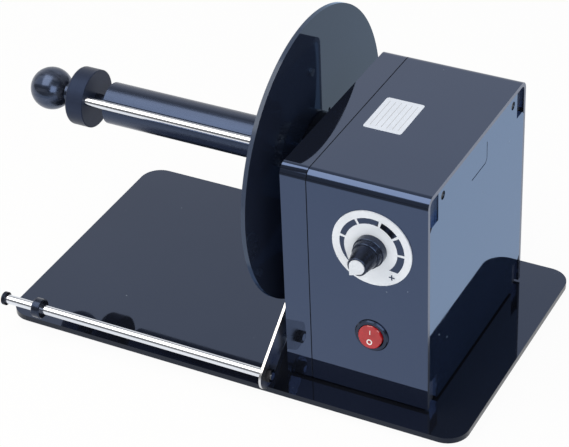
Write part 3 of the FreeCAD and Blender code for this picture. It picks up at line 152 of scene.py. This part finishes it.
FILM_IOR = 1.02   # so near to one that a film tints and adds no gloss of its own
DUST = (0.30, 0.34, 0.40)
DUST_SHARE = 0.7


def acrylic(name, ior, tint, low, high, edge=None, edge_tone=None, edge_shade_tint=None, lean=0.0,
            film=None):
    """Polished black sheet: faint smears and dust on its faces, and darker or paler cut edges,
    whose tone and mirror tint carry painted shade on the base and a painted reflection on the
    disc.

    edge is an axis, and one where the edges face along it or zero where the faces do. lean is
    the slope along X that a slightly overbent sheet shows in its top face. film is the colour
    that a clear film over the sheet lets through.
    """
    skin = Finish(name, ior=ior, tint=tint)
    if film:
        skin.set("Coat Weight", 1.0)
        skin.set("Coat IOR", FILM_IOR)
        skin.set("Coat Tint", (*film, 1))
    clouds = skin.noise(60, detail=4.0)
    smears = skin.noise(9, stretch=(1.0, 0.35, 1.0), detail=5.0, lift=0.65)
    colour = skin.mix(skin.spread(clouds, 0.3, 0.7), rgb(*low), rgb(*high))
    rough = skin.spread(smears, 0.42, 0.78, 0.025, 0.065)
    dust = skin.math("MAXIMUM", skin.specks(6.0, 0.40, 0.08), skin.specks(14.0, 0.75, 0.16, 3.7))
    colour = skin.mix(skin.math("MULTIPLY", dust, DUST_SHARE), colour, rgb(*DUST))
    rough = skin.math("MAXIMUM", rough, skin.math("MULTIPLY", dust, 0.5))
    skin.bump(skin.noise(38, detail=1.0), 0.016)
    if lean:
        split = skin.add("ShaderNodeSeparateXYZ", {"Vector": skin.place.outputs["Object"]})
        rise = skin.math("MULTIPLY", split.outputs["X"], skin.facing("Z", 0.6, 0.95))
        skin.bump(rise, lean / MM)
    if edge:
        share = skin.facing(edge[0], 0.3, 0.6)
        if not edge[1]:
            share = skin.math("SUBTRACT", 1.0, share)
        saw = skin.noise(0.9, detail=4.0)
        # The edge tone is painted on the cut edges; on the disc's polished rim its pale grey-blue
        # is a painted reflection.
        cut = skin.mix(saw, rgb(*(0.7 * value for value in edge_tone)), rgb(*edge_tone))
        colour = skin.mix(share, colour, cut)
        rough = skin.math("ADD", rough, skin.math("MULTIPLY", share, 0.10))
        skin.bump(skin.math("MULTIPLY", saw, share), 0.02)
        # Painted shade: a tint below white dims the cut edges' mirror; on the base it stands in
        # for the shadowed floor that its edges face.
        if edge_shade_tint:
            skin.set("Specular Tint", skin.mix(share, rgb(*tint), rgb(*edge_shade_tint)))
    skin.set("Base Color", colour)
    skin.set("Roughness", rough)
    return skin.material


def moulded(name, low, high, rough=(0.3, 0.42), grain=0.5, depth=0.02, ior=1.5, coat=0.0,
            tint=None):
    """Moulded plastic or rubber: mottled colour, uneven sheen and a fine grain."""
    skin = Finish(name, ior=ior, coat=coat, tint=tint)
    cloud = skin.noise(7, detail=5.0)
    skin.set("Base Color", skin.mix(skin.spread(cloud, 0.3, 0.7), rgb(*low), rgb(*high)))
    skin.set("Roughness", skin.spread(skin.noise(3, detail=4.0), 0.3, 0.7, *rough))
    skin.bump(skin.noise(grain, detail=3.0), depth)
    return skin.material


def turned(name, low, high, rough=(0.18, 0.3), metallic=0.0, axis="X", pitch=0.35, depth=0.006,
           ior=1.5, tint=None):
    """Lathe-turned bar: fine rings round its axis and a few long rubbed streaks along it."""
    skin = Finish(name, metallic=metallic, ior=ior, tint=tint)
    across = {"X": (1, 0.02, 0.02), "Y": (0.02, 1, 0.02)}[axis]
    along = {"X": (0.03, 1, 1), "Y": (1, 0.03, 1)}[axis]
    rings = skin.noise(pitch, stretch=across, detail=2.0)
    streaks = skin.noise(2.2, stretch=along, detail=4.0)
    share = skin.math("MULTIPLY", skin.spread(rings, 0.3, 0.7), skin.spread(streaks, 0.25, 0.75))
    skin.set("Base Color", skin.mix(share, rgb(*low), rgb(*high)))
    skin.set("Roughness", skin.spread(streaks, 0.3, 0.7, *rough))
    skin.bump(rings, depth)
    return skin.material


def reflection_streaked(name, low, high, rough, ior, tint):
    """Hard plastic with bands along X, whose paler colour is painted reflection streaks, and
    whose roughness and relief follow the same bands.
    """
    skin = Finish(name, ior=ior, tint=tint)
    bands = skin.noise(3.4, stretch=(0.08, 1, 1), detail=2.0)
    # Painted reflection: the bands lighten the base colour in streaks along X.
    skin.set("Base Color", skin.mix(skin.spread(bands, 0.38, 0.66), rgb(*low), rgb(*high)))
    skin.set("Roughness", skin.spread(bands, 0.35, 0.7, *rough))
    skin.bump(bands, 0.03)
    return skin.material


def metal(name, low, high, rough=(0.2, 0.34), stretch=(1, 1, 1), cell=1.6, depth=0.004):
    """Bare, rolled or plated metal with a directed grain and small stains."""
    skin = Finish(name, metallic=1.0)
    grain = skin.noise(cell, stretch=stretch, detail=5.0, lift=0.6)
    stains = skin.noise(14, detail=4.0)
    share = skin.math("MULTIPLY", skin.spread(grain, 0.25, 0.75), skin.spread(stains, 0.2, 0.7))
    skin.set("Base Color", skin.mix(share, rgb(*low), rgb(*high)))
    skin.set("Roughness", skin.spread(grain, 0.3, 0.7, *rough))
    skin.bump(grain, depth)
    return skin.material


def chrome(name):
    """Ground and plated rod: mirror bright, with faint rubbed bands along it."""
    skin = Finish(name, metallic=1.0)
    bands = skin.noise(5.0, stretch=(0.12, 1, 1), detail=4.0)
    skin.set("Base Color", skin.mix(skin.spread(bands, 0.3, 0.7), rgb(0.70, 0.74, 0.81),
                                    rgb(0.82, 0.85, 0.91)))
    skin.set("Roughness", skin.spread(bands, 0.3, 0.75, 0.10, 0.20))
    skin.bump(bands, 0.002)
    return skin.material


def printed(name, ground, rough=(0.35, 0.5), coat=0.0):
    """Thin laminated sheet with a faint unevenness in its white."""
    skin = Finish(name, coat=coat, coat_rough=0.12)
    cloud = skin.noise(11, detail=4.0)
    low = tuple(0.93 * value for value in ground)
    skin.set("Base Color", skin.mix(skin.spread(cloud, 0.3, 0.7), rgb(*low), rgb(*ground)))
    skin.set("Roughness", skin.spread(skin.noise(2.5, detail=3.0), 0.3, 0.7, *rough))
    skin.bump(skin.noise(6, detail=2.0), 0.01)
    return skin.material


def rocker_skin(name):
    """Translucent red cap of the switch, glossy, with a little depth to its red."""
    skin = Finish(name, ior=1.5, coat=0.4, coat_rough=0.05)
    cloud = skin.noise(5, detail=3.0)
    skin.set("Base Color", skin.mix(skin.spread(cloud, 0.3, 0.7), rgb(0.33, 0.006, 0.010),
                                    rgb(0.42, 0.012, 0.018)))
    skin.set("Roughness", skin.spread(skin.noise(1.5), 0.3, 0.7, 0.12, 0.22))
    skin.bump(skin.noise(3.0, detail=1.0), 0.012)
    return skin.material


def board_skin(name):
    """Green solder mask over faint copper tracks."""
    skin = Finish(name, ior=1.55)
    tracks = skin.add("ShaderNodeTexBrick", {"Vector": skin.stretched((1, 1, 1)), "Scale": 160.0,
                                             "Mortar Size": 0.06})
    lines = skin.spread(tracks.outputs["Fac"], 0.0, 1.0)
    skin.set("Base Color", skin.mix(lines, rgb(0.010, 0.110, 0.040), rgb(0.030, 0.200, 0.075)))
    skin.set("Roughness", skin.spread(skin.noise(3), 0.3, 0.7, 0.25, 0.4))
    skin.bump(lines, 0.03)
    return skin.material


# Tints and tones that several finishes share, and the sheets, which mirror the room unequally
COOL = (0.38, 0.55, 1.0)
DEEP = (0.0055, 0.0066, 0.0105)
DEEP_LIGHT = (0.0075, 0.0090, 0.0140)
# The base: an edge tint dims its cut edges' mirror, as painted shade for the shadowed floor in
# front of them.
BASE_SHEET = acrylic("acrylic_base", 1.8, COOL, DEEP, DEEP_LIGHT, ("Z", 0),
                     (0.010, 0.012, 0.018), (0.10, 0.14, 0.24))
# The disc: its base colour, far paler than the other sheets', is painted light that lifts its dim
# face, and the pale grey-blue tone of its polished rim is a painted reflection.
DISC_SHEET_PAINTED_LIGHT = acrylic("acrylic_disc_painted_light", 1.38, (0.55, 0.74, 1.0), (0.023, 0.025, 0.040),
                     (0.030, 0.033, 0.050), ("X", 0), (0.070, 0.084, 0.125), (1.0, 1.0, 1.0),
                     film=(0.83, 0.915, 1.0))
# The side panel and wall: a copy of the black acrylic that mirrors far more, with a paler
# specular tint and a bluer base colour, so that the right face comes out brighter; its extra
# gleam is a painted reflection.
SIDE_SHEET_PAINTED_SHEEN = acrylic("acrylic_side_painted_sheen", 3.95, (0.52, 0.70, 1.0), (0.0050, 0.0085, 0.020),
                     (0.0065, 0.0105, 0.025), ("X", 0), (0.010, 0.012, 0.018),
                     film=(0.965, 0.98, 1.0))
CUT_PALE = (0.060, 0.070, 0.095)
COVER = acrylic("acrylic_cover", 2.1, COOL, DEEP, DEEP_LIGHT, ("X", 1), CUT_PALE)
BAND = acrylic("acrylic_band", 2.1, COOL, DEEP, DEEP_LIGHT, ("X", 1), CUT_PALE, lean=0.04)
BLACK = (0.0065, 0.0075, 0.0110)
SOFT_BLACK = (0.014, 0.016, 0.023)

FINISHES = {
    BASE_SHEET: ["base_plate"],
    DISC_SHEET_PAINTED_LIGHT: ["flange_disc"],
    SIDE_SHEET_PAINTED_SHEEN: ["side_panel", "side_wall"],
    BAND: ["cover_band"],
    COVER: ["main_cover", "corner_blocks"],
    turned("turned_black", BLACK, SOFT_BLACK, rough=(0.20, 0.32), ior=1.85, tint=COOL):
        ["mandrel", "core_pin"],
    turned("turned_collar", (0.024, 0.032, 0.058), (0.032, 0.042, 0.074), rough=(0.30, 0.40),
           pitch=0.6, depth=0.004, ior=1.28, tint=(0.25, 0.45, 1.0)):
        ["clamp_collar"],
    reflection_streaked("ball_plastic", (0.008, 0.010, 0.016), (0.036, 0.042, 0.058), rough=(0.18, 0.30),
             ior=1.9, tint=(0.42, 0.58, 1.0)): ["ball_knob"],
    moulded("knob_plastic", (0.006, 0.007, 0.010), (0.012, 0.014, 0.020), rough=(0.18, 0.28),
            grain=0.35, depth=0.008, ior=1.6, tint=COOL): ["speed_knob", "guide_ring"],
    moulded("cap_rubber", (0.004, 0.005, 0.007), (0.008, 0.009, 0.012), rough=(0.4, 0.5),
            ior=1.4, tint=COOL): ["end_cap"],
    moulded("gear_nylon", (0.62, 0.60, 0.54), (0.74, 0.72, 0.66), rough=(0.4, 0.55)):
        ["spindle_gear"],
    moulded("foot_rubber", (0.011, 0.011, 0.012), (0.020, 0.020, 0.021), rough=(0.6, 0.8),
            grain=0.4, depth=0.04): ["feet"],
    moulded("switch_plastic", (0.006, 0.007, 0.010), (0.012, 0.014, 0.020), rough=(0.14, 0.22),
            grain=0.4, depth=0.006, ior=1.6, tint=COOL):
        ["switch_body", "slot_sensor", "inlet_jack", "sensor_flag"],
    moulded("terminal_plastic", (0.02, 0.20, 0.07), (0.03, 0.28, 0.10), rough=(0.3, 0.45)):
        ["terminal_block"],
    moulded("cap_plastic", (0.68, 0.73, 0.81), (0.73, 0.79, 0.87), rough=(0.25, 0.35), grain=1.0,
            depth=0.006): ["knob_cap"],
    printed("dial_white", (0.82, 0.88, 0.96), coat=0.2): ["dial_plate"],
    rocker_skin("rocker_red"): ["rocker"],
    board_skin("board_green"): ["control_board"],
    chrome("chrome_rod"): ["clamp_rod", "guide_rod"],
    metal("arm_steel", (0.60, 0.61, 0.63), (0.80, 0.81, 0.82), rough=(0.24, 0.38),
          stretch=(1, 0.2, 0.2)): ["dancer_arm", "angle_brackets"],
    turned("turned_steel", (0.44, 0.44, 0.45), (0.64, 0.64, 0.65), rough=(0.2, 0.3), metallic=1.0,
           pitch=0.3): ["spindle", "shaft_collar", "pivot_shaft", "stop_pin", "output_shaft",
                        "front_bearing", "rear_bearing"],
    turned("pot_metal", (0.50, 0.50, 0.51), (0.66, 0.66, 0.67), rough=(0.25, 0.35), metallic=1.0,
           axis="Y"): ["pot_body", "pot_shaft"],
    metal("motor_steel", (0.46, 0.46, 0.48), (0.60, 0.60, 0.62), rough=(0.28, 0.42)):
        ["gearbox", "motor_can"],
    metal("pinion_steel", (0.42, 0.40, 0.36), (0.58, 0.56, 0.52), rough=(0.25, 0.4)): ["pinion"],
    metal("zinc_plate", (0.58, 0.60, 0.62), (0.74, 0.76, 0.78), rough=(0.22, 0.36), cell=0.8):
        ["foot_screws", "base_screws", "wall_screws", "plate_screws", "motor_screws", "pot_nut",
         "inlet_nut"],
    metal("black_oxide", (0.012, 0.012, 0.014), (0.030, 0.030, 0.034), rough=(0.3, 0.45),
          cell=0.8): ["panel_screws", "arm_nut", "rod_nut"],
    metal("aluminium_sheet", (0.66, 0.67, 0.68), (0.80, 0.81, 0.82), rough=(0.26, 0.4),
          stretch=(1, 1, 0.1)): ["inner_plate"],
    metal("sink_black", (0.014, 0.014, 0.016), (0.03, 0.03, 0.034), rough=(0.35, 0.5)):
        ["heat_sink"],
    metal("yellow_brass", (0.58, 0.40, 0.15), (0.78, 0.58, 0.27), rough=(0.22, 0.36)):
        ["plate_spacers", "arm_bush", "bush_nut", "board_posts", "switch_terminals"],
}


def smooth(mesh):
    """Smooth shading that keeps a machined or moulded shape's sharp edges."""
    mesh.shade_smooth()
    mesh.set_sharp_from_angle(angle=SHARP_ANGLE)


def dress_nodes():
    for material, names in FINISHES.items():
        for name in names:
            mesh = nodes[name].data
            mesh.materials.clear()
            mesh.materials.append(material)
            smooth(mesh)


def round_edges(name, width, segments):
    """A small rounding on a node's sharp edges, so that they catch the light."""
    bevel = nodes[name].modifiers.new("edge", "BEVEL")
    bevel.width = width * MM
    bevel.segments = segments
    bevel.limit_method = "ANGLE"
    bevel.angle_limit = BEVEL_ANGLE
    bevel.harden_normals = True


# Width in millimetres and segments of each node's rounding
ROUNDINGS = {"base_plate": (0.7, 3), "flange_disc": (0.5, 3), "cover_band": (0.35, 2),
             "main_cover": (0.35, 2), "side_panel": (0.35, 2), "dancer_arm": (0.2, 2),
             "dial_plate": (0.2, 2), "rod_nut": (0.2, 2)}

dress_nodes()
for edged_node, rounding in ROUNDINGS.items():
    round_edges(edged_node, *rounding)


# Small pieces that the scene adds

def mesh_piece(name, build, material, body):
    """A piece from a bmesh that build fills in, in metres in the frame's axes."""
    mesh = bpy.data.meshes.new(name)
    work = bmesh.new()
    build(work)
    bmesh.ops.recalc_face_normals(work, faces=work.faces)
    work.to_mesh(mesh)
    work.free()
    mesh.materials.append(material)
    piece = bpy.data.objects.new(name, mesh)
    bpy.context.scene.collection.objects.link(piece)
    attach(piece, body)
    return piece


def plate(work, outline, place, thick):
    """A flat plate: an outline in the x and y of a placing matrix, raised along its z."""
    low = [work.verts.new(place @ Vector((x * MM, y * MM, 0))) for x, y in outline]
    high = [work.verts.new(place @ Vector((x * MM, y * MM, thick * MM))) for x, y in outline]
    work.faces.new(low[::-1])
    work.faces.new(high)
    for index in range(len(outline)):
        after = (index + 1) % len(outline)
        work.faces.new([low[index], low[after], high[after], high[index]])


def bar(work, middle, width, height, place, thick):
    """A flat rectangle about its middle, laid as a plate is."""
    x, y = middle
    across, up = width / 2, height / 2
    plate(work, [(x - across, y - up), (x + across, y - up), (x + across, y + up),
                 (x - across, y + up)], place, thick)


def rounded(width, height, radius, steps=6):
    """The outline of a rectangle with round corners, about its middle."""
    corners = [(width / 2 - radius, height / 2 - radius, 0),
               (radius - width / 2, height / 2 - radius, 90),
               (radius - width / 2, radius - height / 2, 180),
               (width / 2 - radius, radius - height / 2, 270)]
    return [(x + radius * math.cos(math.radians(start + 90 * step / steps)),
             y + radius * math.sin(math.radians(start + 90 * step / steps)))
            for x, y, start in corners for step in range(steps + 1)]


def middle_of(name):
    low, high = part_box(name)
    return (low + high) / 2


def front_place(x, y, z):
    """A place on the front of the machine: x to the right, y up, z towards the viewer."""
    turn = Matrix(((1, 0, 0), (0, 0, -1), (0, 1, 0))).to_4x4()
    return Matrix.Translation((x, y, z)) @ turn


INK = moulded("ink_black", (0.004, 0.0045, 0.007), (0.007, 0.008, 0.012), rough=(0.05, 0.12),
              grain=2.0, depth=0.002, ior=1.9, tint=COOL)
MARK_WHITE = moulded("mark_white", (0.78, 0.78, 0.78), (0.86, 0.86, 0.86), rough=(0.4, 0.5),
                     grain=0.5, depth=0.003)
STICKER = printed("sticker_white", (0.76, 0.84, 0.97), rough=(0.3, 0.42), coat=0.1)
RULE_GREY = moulded("rule_grey", (0.30, 0.31, 0.33), (0.40, 0.41, 0.43), rough=(0.4, 0.5),
                    grain=0.5, depth=0.002)

# Marks of the speed dial: a ring in six parts that thins towards its low end, with a plus at the
# fast end and a minus at the slow end. Angles run counter-clockwise from +X, in degrees.
DIAL_OUTER = [(-48, 21.9), (165, 21.9), (183, 21.6), (205, 21.2), (220, 20.6)]
DIAL_INNER = [(-48, 17.2), (36, 17.2), (57, 17.6), (77, 18.0), (123, 18.0), (162, 18.2),
              (180, 18.6), (205, 19.0), (220, 20.2)]
DIAL_GAPS = [-0.5, 36.5, 74.0, 119.0, 167.0]
DIAL_GAP = 4.8
DIAL_START = (-38.0, -48.0)
DIAL_END = 220.0
SIGN_X, SIGN_Y = 13.3, -17.9
SIGN_LENGTH, SIGN_WIDTH = 4.0, 0.9
INK_THICK = 0.06


def at_angle(rows, angle):
    """The radius at an angle, between the rows of a table."""
    for (first, low), (last, high) in zip(rows, rows[1:]):
        if angle <= last:
            return low + (high - low) * max(0.0, angle - first) / (last - first)
    return rows[-1][1]


def dial_parts():
    edges = [DIAL_START]
    for gap in DIAL_GAPS:
        edges += [(gap - DIAL_GAP / 2,) * 2, (gap + DIAL_GAP / 2,) * 2]
    edges.append((DIAL_END, DIAL_END))
    return list(zip(edges[0::2], edges[1::2]))


def polar(radius, angle):
    return radius * math.cos(math.radians(angle)), radius * math.sin(math.radians(angle))


def dial_part_outline(start, stop, steps=14):
    """Outline of one part: start and stop each give the outer and the inner angle."""
    outer = [start[0] + (stop[0] - start[0]) * step / steps for step in range(steps + 1)]
    inner = [start[1] + (stop[1] - start[1]) * step / steps for step in range(steps + 1)]
    return ([polar(at_angle(DIAL_OUTER, angle), angle) for angle in outer]
            + [polar(at_angle(DIAL_INNER, angle), angle) for angle in reversed(inner)])


dial_middle = middle_of("dial_plate")
dial_face = front_place(dial_middle.x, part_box("dial_plate")[0].y, dial_middle.z)


def dial_ring(work):
    for start, stop in dial_parts():
        plate(work, dial_part_outline(start, stop), dial_face, INK_THICK)


def dial_signs(work):
    """A minus at the left, and a plus at the right, whose upright is two stubs on its bar."""
    for side in (1, -1):
        bar(work, (side * SIGN_X, SIGN_Y), SIGN_LENGTH, SIGN_WIDTH, dial_face, INK_THICK)
    stub = (SIGN_LENGTH - SIGN_WIDTH) / 2
    for side in (1, -1):
        bar(work, (SIGN_X, SIGN_Y + side * (SIGN_WIDTH + stub) / 2), SIGN_WIDTH, stub, dial_face,
            INK_THICK)


mesh_piece("dial_ring_marks", dial_ring, INK, "machine")
mesh_piece("dial_sign_marks", dial_signs, INK, "machine")

# Marks of the rocker switch, one on each half of its flat face, which leans with its upper end in
rocker_at = Vector(joints["rocker_tilt"]["pos_m"])
ROCKER_TILT = math.radians(-8)
ROCKER_PROUD = 4.0
MARK_REACH = 3.4
MARK_THICK = 0.05
STROKE_WIDTH, STROKE_LENGTH, STROKE_CORNER = 0.55, 3.0, 0.2
CIRCLE_OUTER, CIRCLE_INNER = 1.95, 1.2


def rocker_place(side):
    """The middle of one half of the rocker's face, upper 1 or lower -1."""
    leaning = Matrix.Translation(rocker_at) @ Matrix.Rotation(ROCKER_TILT, 4, "X")
    return leaning @ front_place(0, -ROCKER_PROUD * MM, side * MARK_REACH * MM)


def ring_plate(work, outer, inner, place, thick, steps=28):
    """A flat ring, raised along the z of its place."""
    loops = []
    for radius, lift in ((outer, 0), (outer, thick), (inner, thick), (inner, 0)):
        loops.append([work.verts.new(place @ (MM * Vector((*polar(radius, 360 * step / steps),
                                                           lift)))) for step in range(steps)])
    for near, far in zip(loops, loops[1:] + loops[:1]):
        for step in range(steps):
            after = (step + 1) % steps
            work.faces.new([near[step], near[after], far[after], far[step]])


def rocker_marks(work):
    stroke = rounded(STROKE_WIDTH, STROKE_LENGTH, STROKE_CORNER, 3)
    plate(work, stroke, rocker_place(1), MARK_THICK)
    ring_plate(work, CIRCLE_OUTER, CIRCLE_INNER, rocker_place(-1), MARK_THICK)


mesh_piece("rocker_marks", rocker_marks, MARK_WHITE, "rocker")

# The sticker on the top of the cover, bare but for blank rules
STICKER_X, STICKER_Y = 78.2, 1.0
STICKER_WIDTH, STICKER_DEPTH, STICKER_CORNER, STICKER_THICK = 26.3, 38.0, 1.8, 0.12
RULES_AT = (-9.6, -5.7, -1.9, 1.9, 5.7, 9.6)
RULE_WIDTH, RULE_LENGTH, RULE_THICK = 0.28, 31.0, 0.01
cover_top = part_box("main_cover")[1].z
sticker_place = Matrix.Translation((STICKER_X * MM, STICKER_Y * MM, cover_top))
sticker_face = Matrix.Translation((STICKER_X * MM, STICKER_Y * MM,
                                   cover_top + STICKER_THICK * MM))


def sticker_sheet(work):
    outline = rounded(STICKER_WIDTH, STICKER_DEPTH, STICKER_CORNER)
    plate(work, outline, sticker_place, STICKER_THICK)


def sticker_rules(work):
    for x in RULES_AT:
        bar(work, (x, 0), RULE_WIDTH, RULE_LENGTH, sticker_face, RULE_THICK)


mesh_piece("sticker", sticker_sheet, STICKER, "machine")
mesh_piece("sticker_rules", sticker_rules, RULE_GREY, "machine")


# The hub behind the disc, as small as the photograph shows it, with its screws' heads
HUB_RADIUS, HUB_BORE, HUB_CHAMFER, HUB_STEPS = 28.0, 8.3, 0.8, 96
HUB_CIRCLE, HUB_SCREWS = 19.0, 4
HEAD_RADIUS, HEAD_HEIGHT, HEAD_EDGE, HEAD_STEPS = 2.75, 3.0, 0.3, 24
SOCKET_RADIUS, SOCKET_DEPTH = 1.3, 1.8
hub_left, hub_right = (corner.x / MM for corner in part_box("flange_hub"))
hub_middle = middle_of("flange_hub")
hub_axis = Vector((0, hub_middle.y, hub_middle.z))


def lathe(work, profile, middle, steps):
    """Turn a profile of x and radius, in millimetres, about an axis along X.

    The profile is closed, or ends on the axis at both ends.
    """
    loops = []
    for x, radius in profile:
        if radius == 0:
            loops.append([work.verts.new(middle + Vector((x * MM, 0, 0)))] * steps)
            continue
        loops.append([work.verts.new(middle + MM * Vector((x, *polar(radius, 360 * k / steps))))
                      for k in range(steps)])
    for near, far in zip(loops, loops[1:]):
        for k in range(steps):
            after = (k + 1) % steps
            corners = [near[k], near[after], far[after], far[k]]
            work.faces.new(list(dict.fromkeys(corners)))


def hub_disc(work):
    rim = HUB_RADIUS - HUB_CHAMFER
    profile = [(hub_left, HUB_BORE), (hub_left, rim), (hub_left + HUB_CHAMFER, HUB_RADIUS),
               (hub_right - HUB_CHAMFER, HUB_RADIUS), (hub_right, rim), (hub_right, HUB_BORE),
               (hub_left, HUB_BORE)]
    lathe(work, profile, hub_axis, HUB_STEPS)
    bmesh.ops.remove_doubles(work, verts=work.verts, dist=1e-7)


def hub_heads(work):
    top = hub_right + HEAD_HEIGHT
    profile = [(hub_right, 0), (hub_right, HEAD_RADIUS), (top - HEAD_EDGE, HEAD_RADIUS),
               (top, HEAD_RADIUS - HEAD_EDGE), (top, SOCKET_RADIUS),
               (top - SOCKET_DEPTH, SOCKET_RADIUS), (top - SOCKET_DEPTH, 0)]
    for k in range(HUB_SCREWS):
        y, z = polar(HUB_CIRCLE, 45 + 360 * k / HUB_SCREWS)
        lathe(work, profile, hub_axis + MM * Vector((0, y, z)), HEAD_STEPS)


HUB_BLACK = turned("hub_black", BLACK, SOFT_BLACK, rough=(0.06, 0.12), tint=COOL)
HEAD_STEEL = metal("head_zinc", (0.58, 0.60, 0.62), (0.74, 0.76, 0.78), rough=(0.22, 0.36),
                   cell=0.8)
hub = mesh_piece("hub_turned", hub_disc, HUB_BLACK, "spindle")
heads = mesh_piece("hub_screw_heads", hub_heads, HEAD_STEEL, "spindle")
for piece, node in ((hub, "flange_hub"), (heads, "hub_screws")):
    smooth(piece.data)
    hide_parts(node)


# Floor, light and camera

FLOOR_SIZE = 80.0
FLOOR_GLOW = 0.955                      # how white the floor looks where it is seen
FLOOR_PALE, FLOOR_DARK = -0.37, -0.47   # y between which the floor turns dark to mirrors


def make_floor():
    """A white floor, which in front of the object turns dark grey to mirrors."""
    skin = Finish("floor_white")
    split = skin.add("ShaderNodeSeparateXYZ", {"Vector": skin.place.outputs["Object"]})
    pale = skin.spread(split.outputs["Y"], FLOOR_DARK, FLOOR_PALE)
    white = skin.mix(skin.noise(400), rgb(0.84, 0.84, 0.84), rgb(0.88, 0.88, 0.88))
    skin.set("Base Color", skin.mix(pale, rgb(0.15, 0.15, 0.15), white))
    skin.set("Roughness", 0.9)
    path = skin.add("ShaderNodeLightPath").outputs
    mirrored = skin.math("MULTIPLY", path["Is Glossy Ray"], pale)
    seen = skin.math("MAXIMUM", path["Is Camera Ray"], mirrored)
    seen = skin.math("MAXIMUM", seen, path["Is Transmission Ray"])
    glow = skin.add("ShaderNodeEmission", {"Color": (1, 1, 1, 1), "Strength": 1.0})
    surface = skin.add("ShaderNodeMixShader", {0: skin.math("MULTIPLY", seen, FLOOR_GLOW),
                                               1: skin.shader.outputs[0], 2: glow.outputs[0]})
    skin.put(skin.tree.nodes["Material Output"].inputs["Surface"], surface.outputs[0])
    mesh = bpy.data.meshes.new("floor")
    far = FLOOR_SIZE / 2
    mesh.from_pydata([(-far, -far, 0), (far, -far, 0), (far, far, 0), (-far, far, 0)], [],
                     [(0, 1, 2, 3)])
    mesh.materials.append(skin.material)
    floor = bpy.data.objects.new("floor", mesh)
    bpy.context.scene.collection.objects.link(floor)


SKY_DIFFUSE = 0.45
# What mirrors see: a tone at each share of the half turn from the front over the top to the back
SKY_BANDS = [(0.0, 0.20), (0.18, 0.20), (0.235, 1.0), (0.53, 1.0), (0.58, 0.45), (0.71, 0.45),
             (0.76, 0.86), (1.0, 0.86)]
SKY_RIGHT = 0.30                # how much of it is left at the far right
SKY_RIGHT_FROM, SKY_RIGHT_TO = 0.1, 0.3


def make_world():
    """White to the camera, and to mirrors a white studio with two greyer bands.

    The bands run parallel to X: one low in front, and one high up behind.
    """
    world = bpy.data.worlds.new("studio")
    bpy.context.scene.world = world
    world.use_nodes = True
    tree = world.node_tree
    background = tree.nodes["Background"]

    def node(kind, inputs, **settings):
        made = tree.nodes.new(kind)
        for key, value in settings.items():
            setattr(made, key, value)
        for socket, value in zip(made.inputs, inputs):
            if isinstance(value, bpy.types.NodeSocket):
                tree.links.new(value, socket)
            elif value is not None:
                socket.default_value = value
        return made.outputs

    path = node("ShaderNodeLightPath", [])
    place = node("ShaderNodeTexCoord", [])
    split = node("ShaderNodeSeparateXYZ", [place["Generated"]])
    front = node("ShaderNodeMath", [split[1], -1.0], operation="MULTIPLY")[0]
    angle = node("ShaderNodeMath", [split[2], front], operation="ARCTAN2")[0]
    turn = node("ShaderNodeMath", [angle, math.pi], operation="DIVIDE")[0]
    ramp = tree.nodes.new("ShaderNodeValToRGB")
    tree.links.new(turn, ramp.inputs[0])
    stops = ramp.color_ramp.elements
    for index, (share, grey) in enumerate(SKY_BANDS):
        stop = stops[index] if index < 2 else stops.new(share)
        stop.position = share
        stop.color = (grey, grey, grey, 1)
    dim = node("ShaderNodeMapRange",
               [split[0], SKY_RIGHT_FROM, SKY_RIGHT_TO, 1.0, SKY_RIGHT])[0]
    bright = node("ShaderNodeMath", [ramp.outputs[0], dim], operation="MULTIPLY")[0]
    lit = node("ShaderNodeMix", [path["Is Glossy Ray"], None, SKY_DIFFUSE, bright],
               data_type="FLOAT")[0]
    seen = node("ShaderNodeMath", [path["Is Camera Ray"], path["Is Transmission Ray"]],
                operation="MAXIMUM")[0]
    strength = node("ShaderNodeMix", [seen, None, lit, 1.0], data_type="FLOAT")[0]
    background.inputs["Color"].default_value = (1, 1, 1, 1)
    tree.links.new(strength, background.inputs["Strength"])


WHITE = (1.0, 1.0, 1.0)
WARM = (1.0, 0.91, 0.80)
HOUSING = (0.09, -0.05, 0.14)
MIDDLE = (-0.03, -0.05, 0.13)


def area_light(name, direction, distance, size, radiance, target, colour):
    """A soft box of that radiance that stands off the target along a direction."""
    light = bpy.data.lights.new(name, "AREA")
    light.shape = "RECTANGLE"
    light.color = colour
    light.size, light.size_y = size
    light.energy = radiance * math.pi * size[0] * size[1]
    lamp = bpy.data.objects.new(name, light)
    bpy.context.scene.collection.objects.link(lamp)
    towards = Vector(direction).normalized()
    across = Vector((1, 0, 0))
    across = (across - towards * across.dot(towards)).normalized()
    along = towards.cross(across)
    turn = Matrix((across, along, towards)).transposed()
    lamp.matrix_world = Matrix.Translation(Vector(target) + towards * distance) @ turn.to_4x4()
    lamp.visible_camera = False


make_floor()
make_world()
area_light("long_box", (-0.345, -0.325, 0.90), 1.0, (0.75, 1.0), 2.9, MIDDLE, WARM)
area_light("fill_box", (0.55, -0.90, 0.50), 1.2, (0.8, 0.8), 3.2, HOUSING, WHITE)

# The camera as it was fitted to the photograph's frame of 569 by 447
CAMERA_AT = (0.5512, -1.0224, 0.8651)
CAMERA_AXES = Matrix(((0.8901, -0.2306, 0.3930), (0.4543, 0.5171, -0.7254),
                      (-0.0360, 0.8243, 0.5650)))
camera_data = bpy.data.cameras.new("camera")
camera_data.lens = 133.0
camera_data.sensor_width = 36.0
camera_data.shift_y = -0.0056
camera = bpy.data.objects.new("camera", camera_data)
bpy.context.scene.collection.objects.link(camera)
camera.matrix_world = Matrix.Translation(CAMERA_AT) @ CAMERA_AXES.to_4x4()
bpy.context.scene.camera = camera
bpy.context.scene.view_settings.view_transform = "Standard"
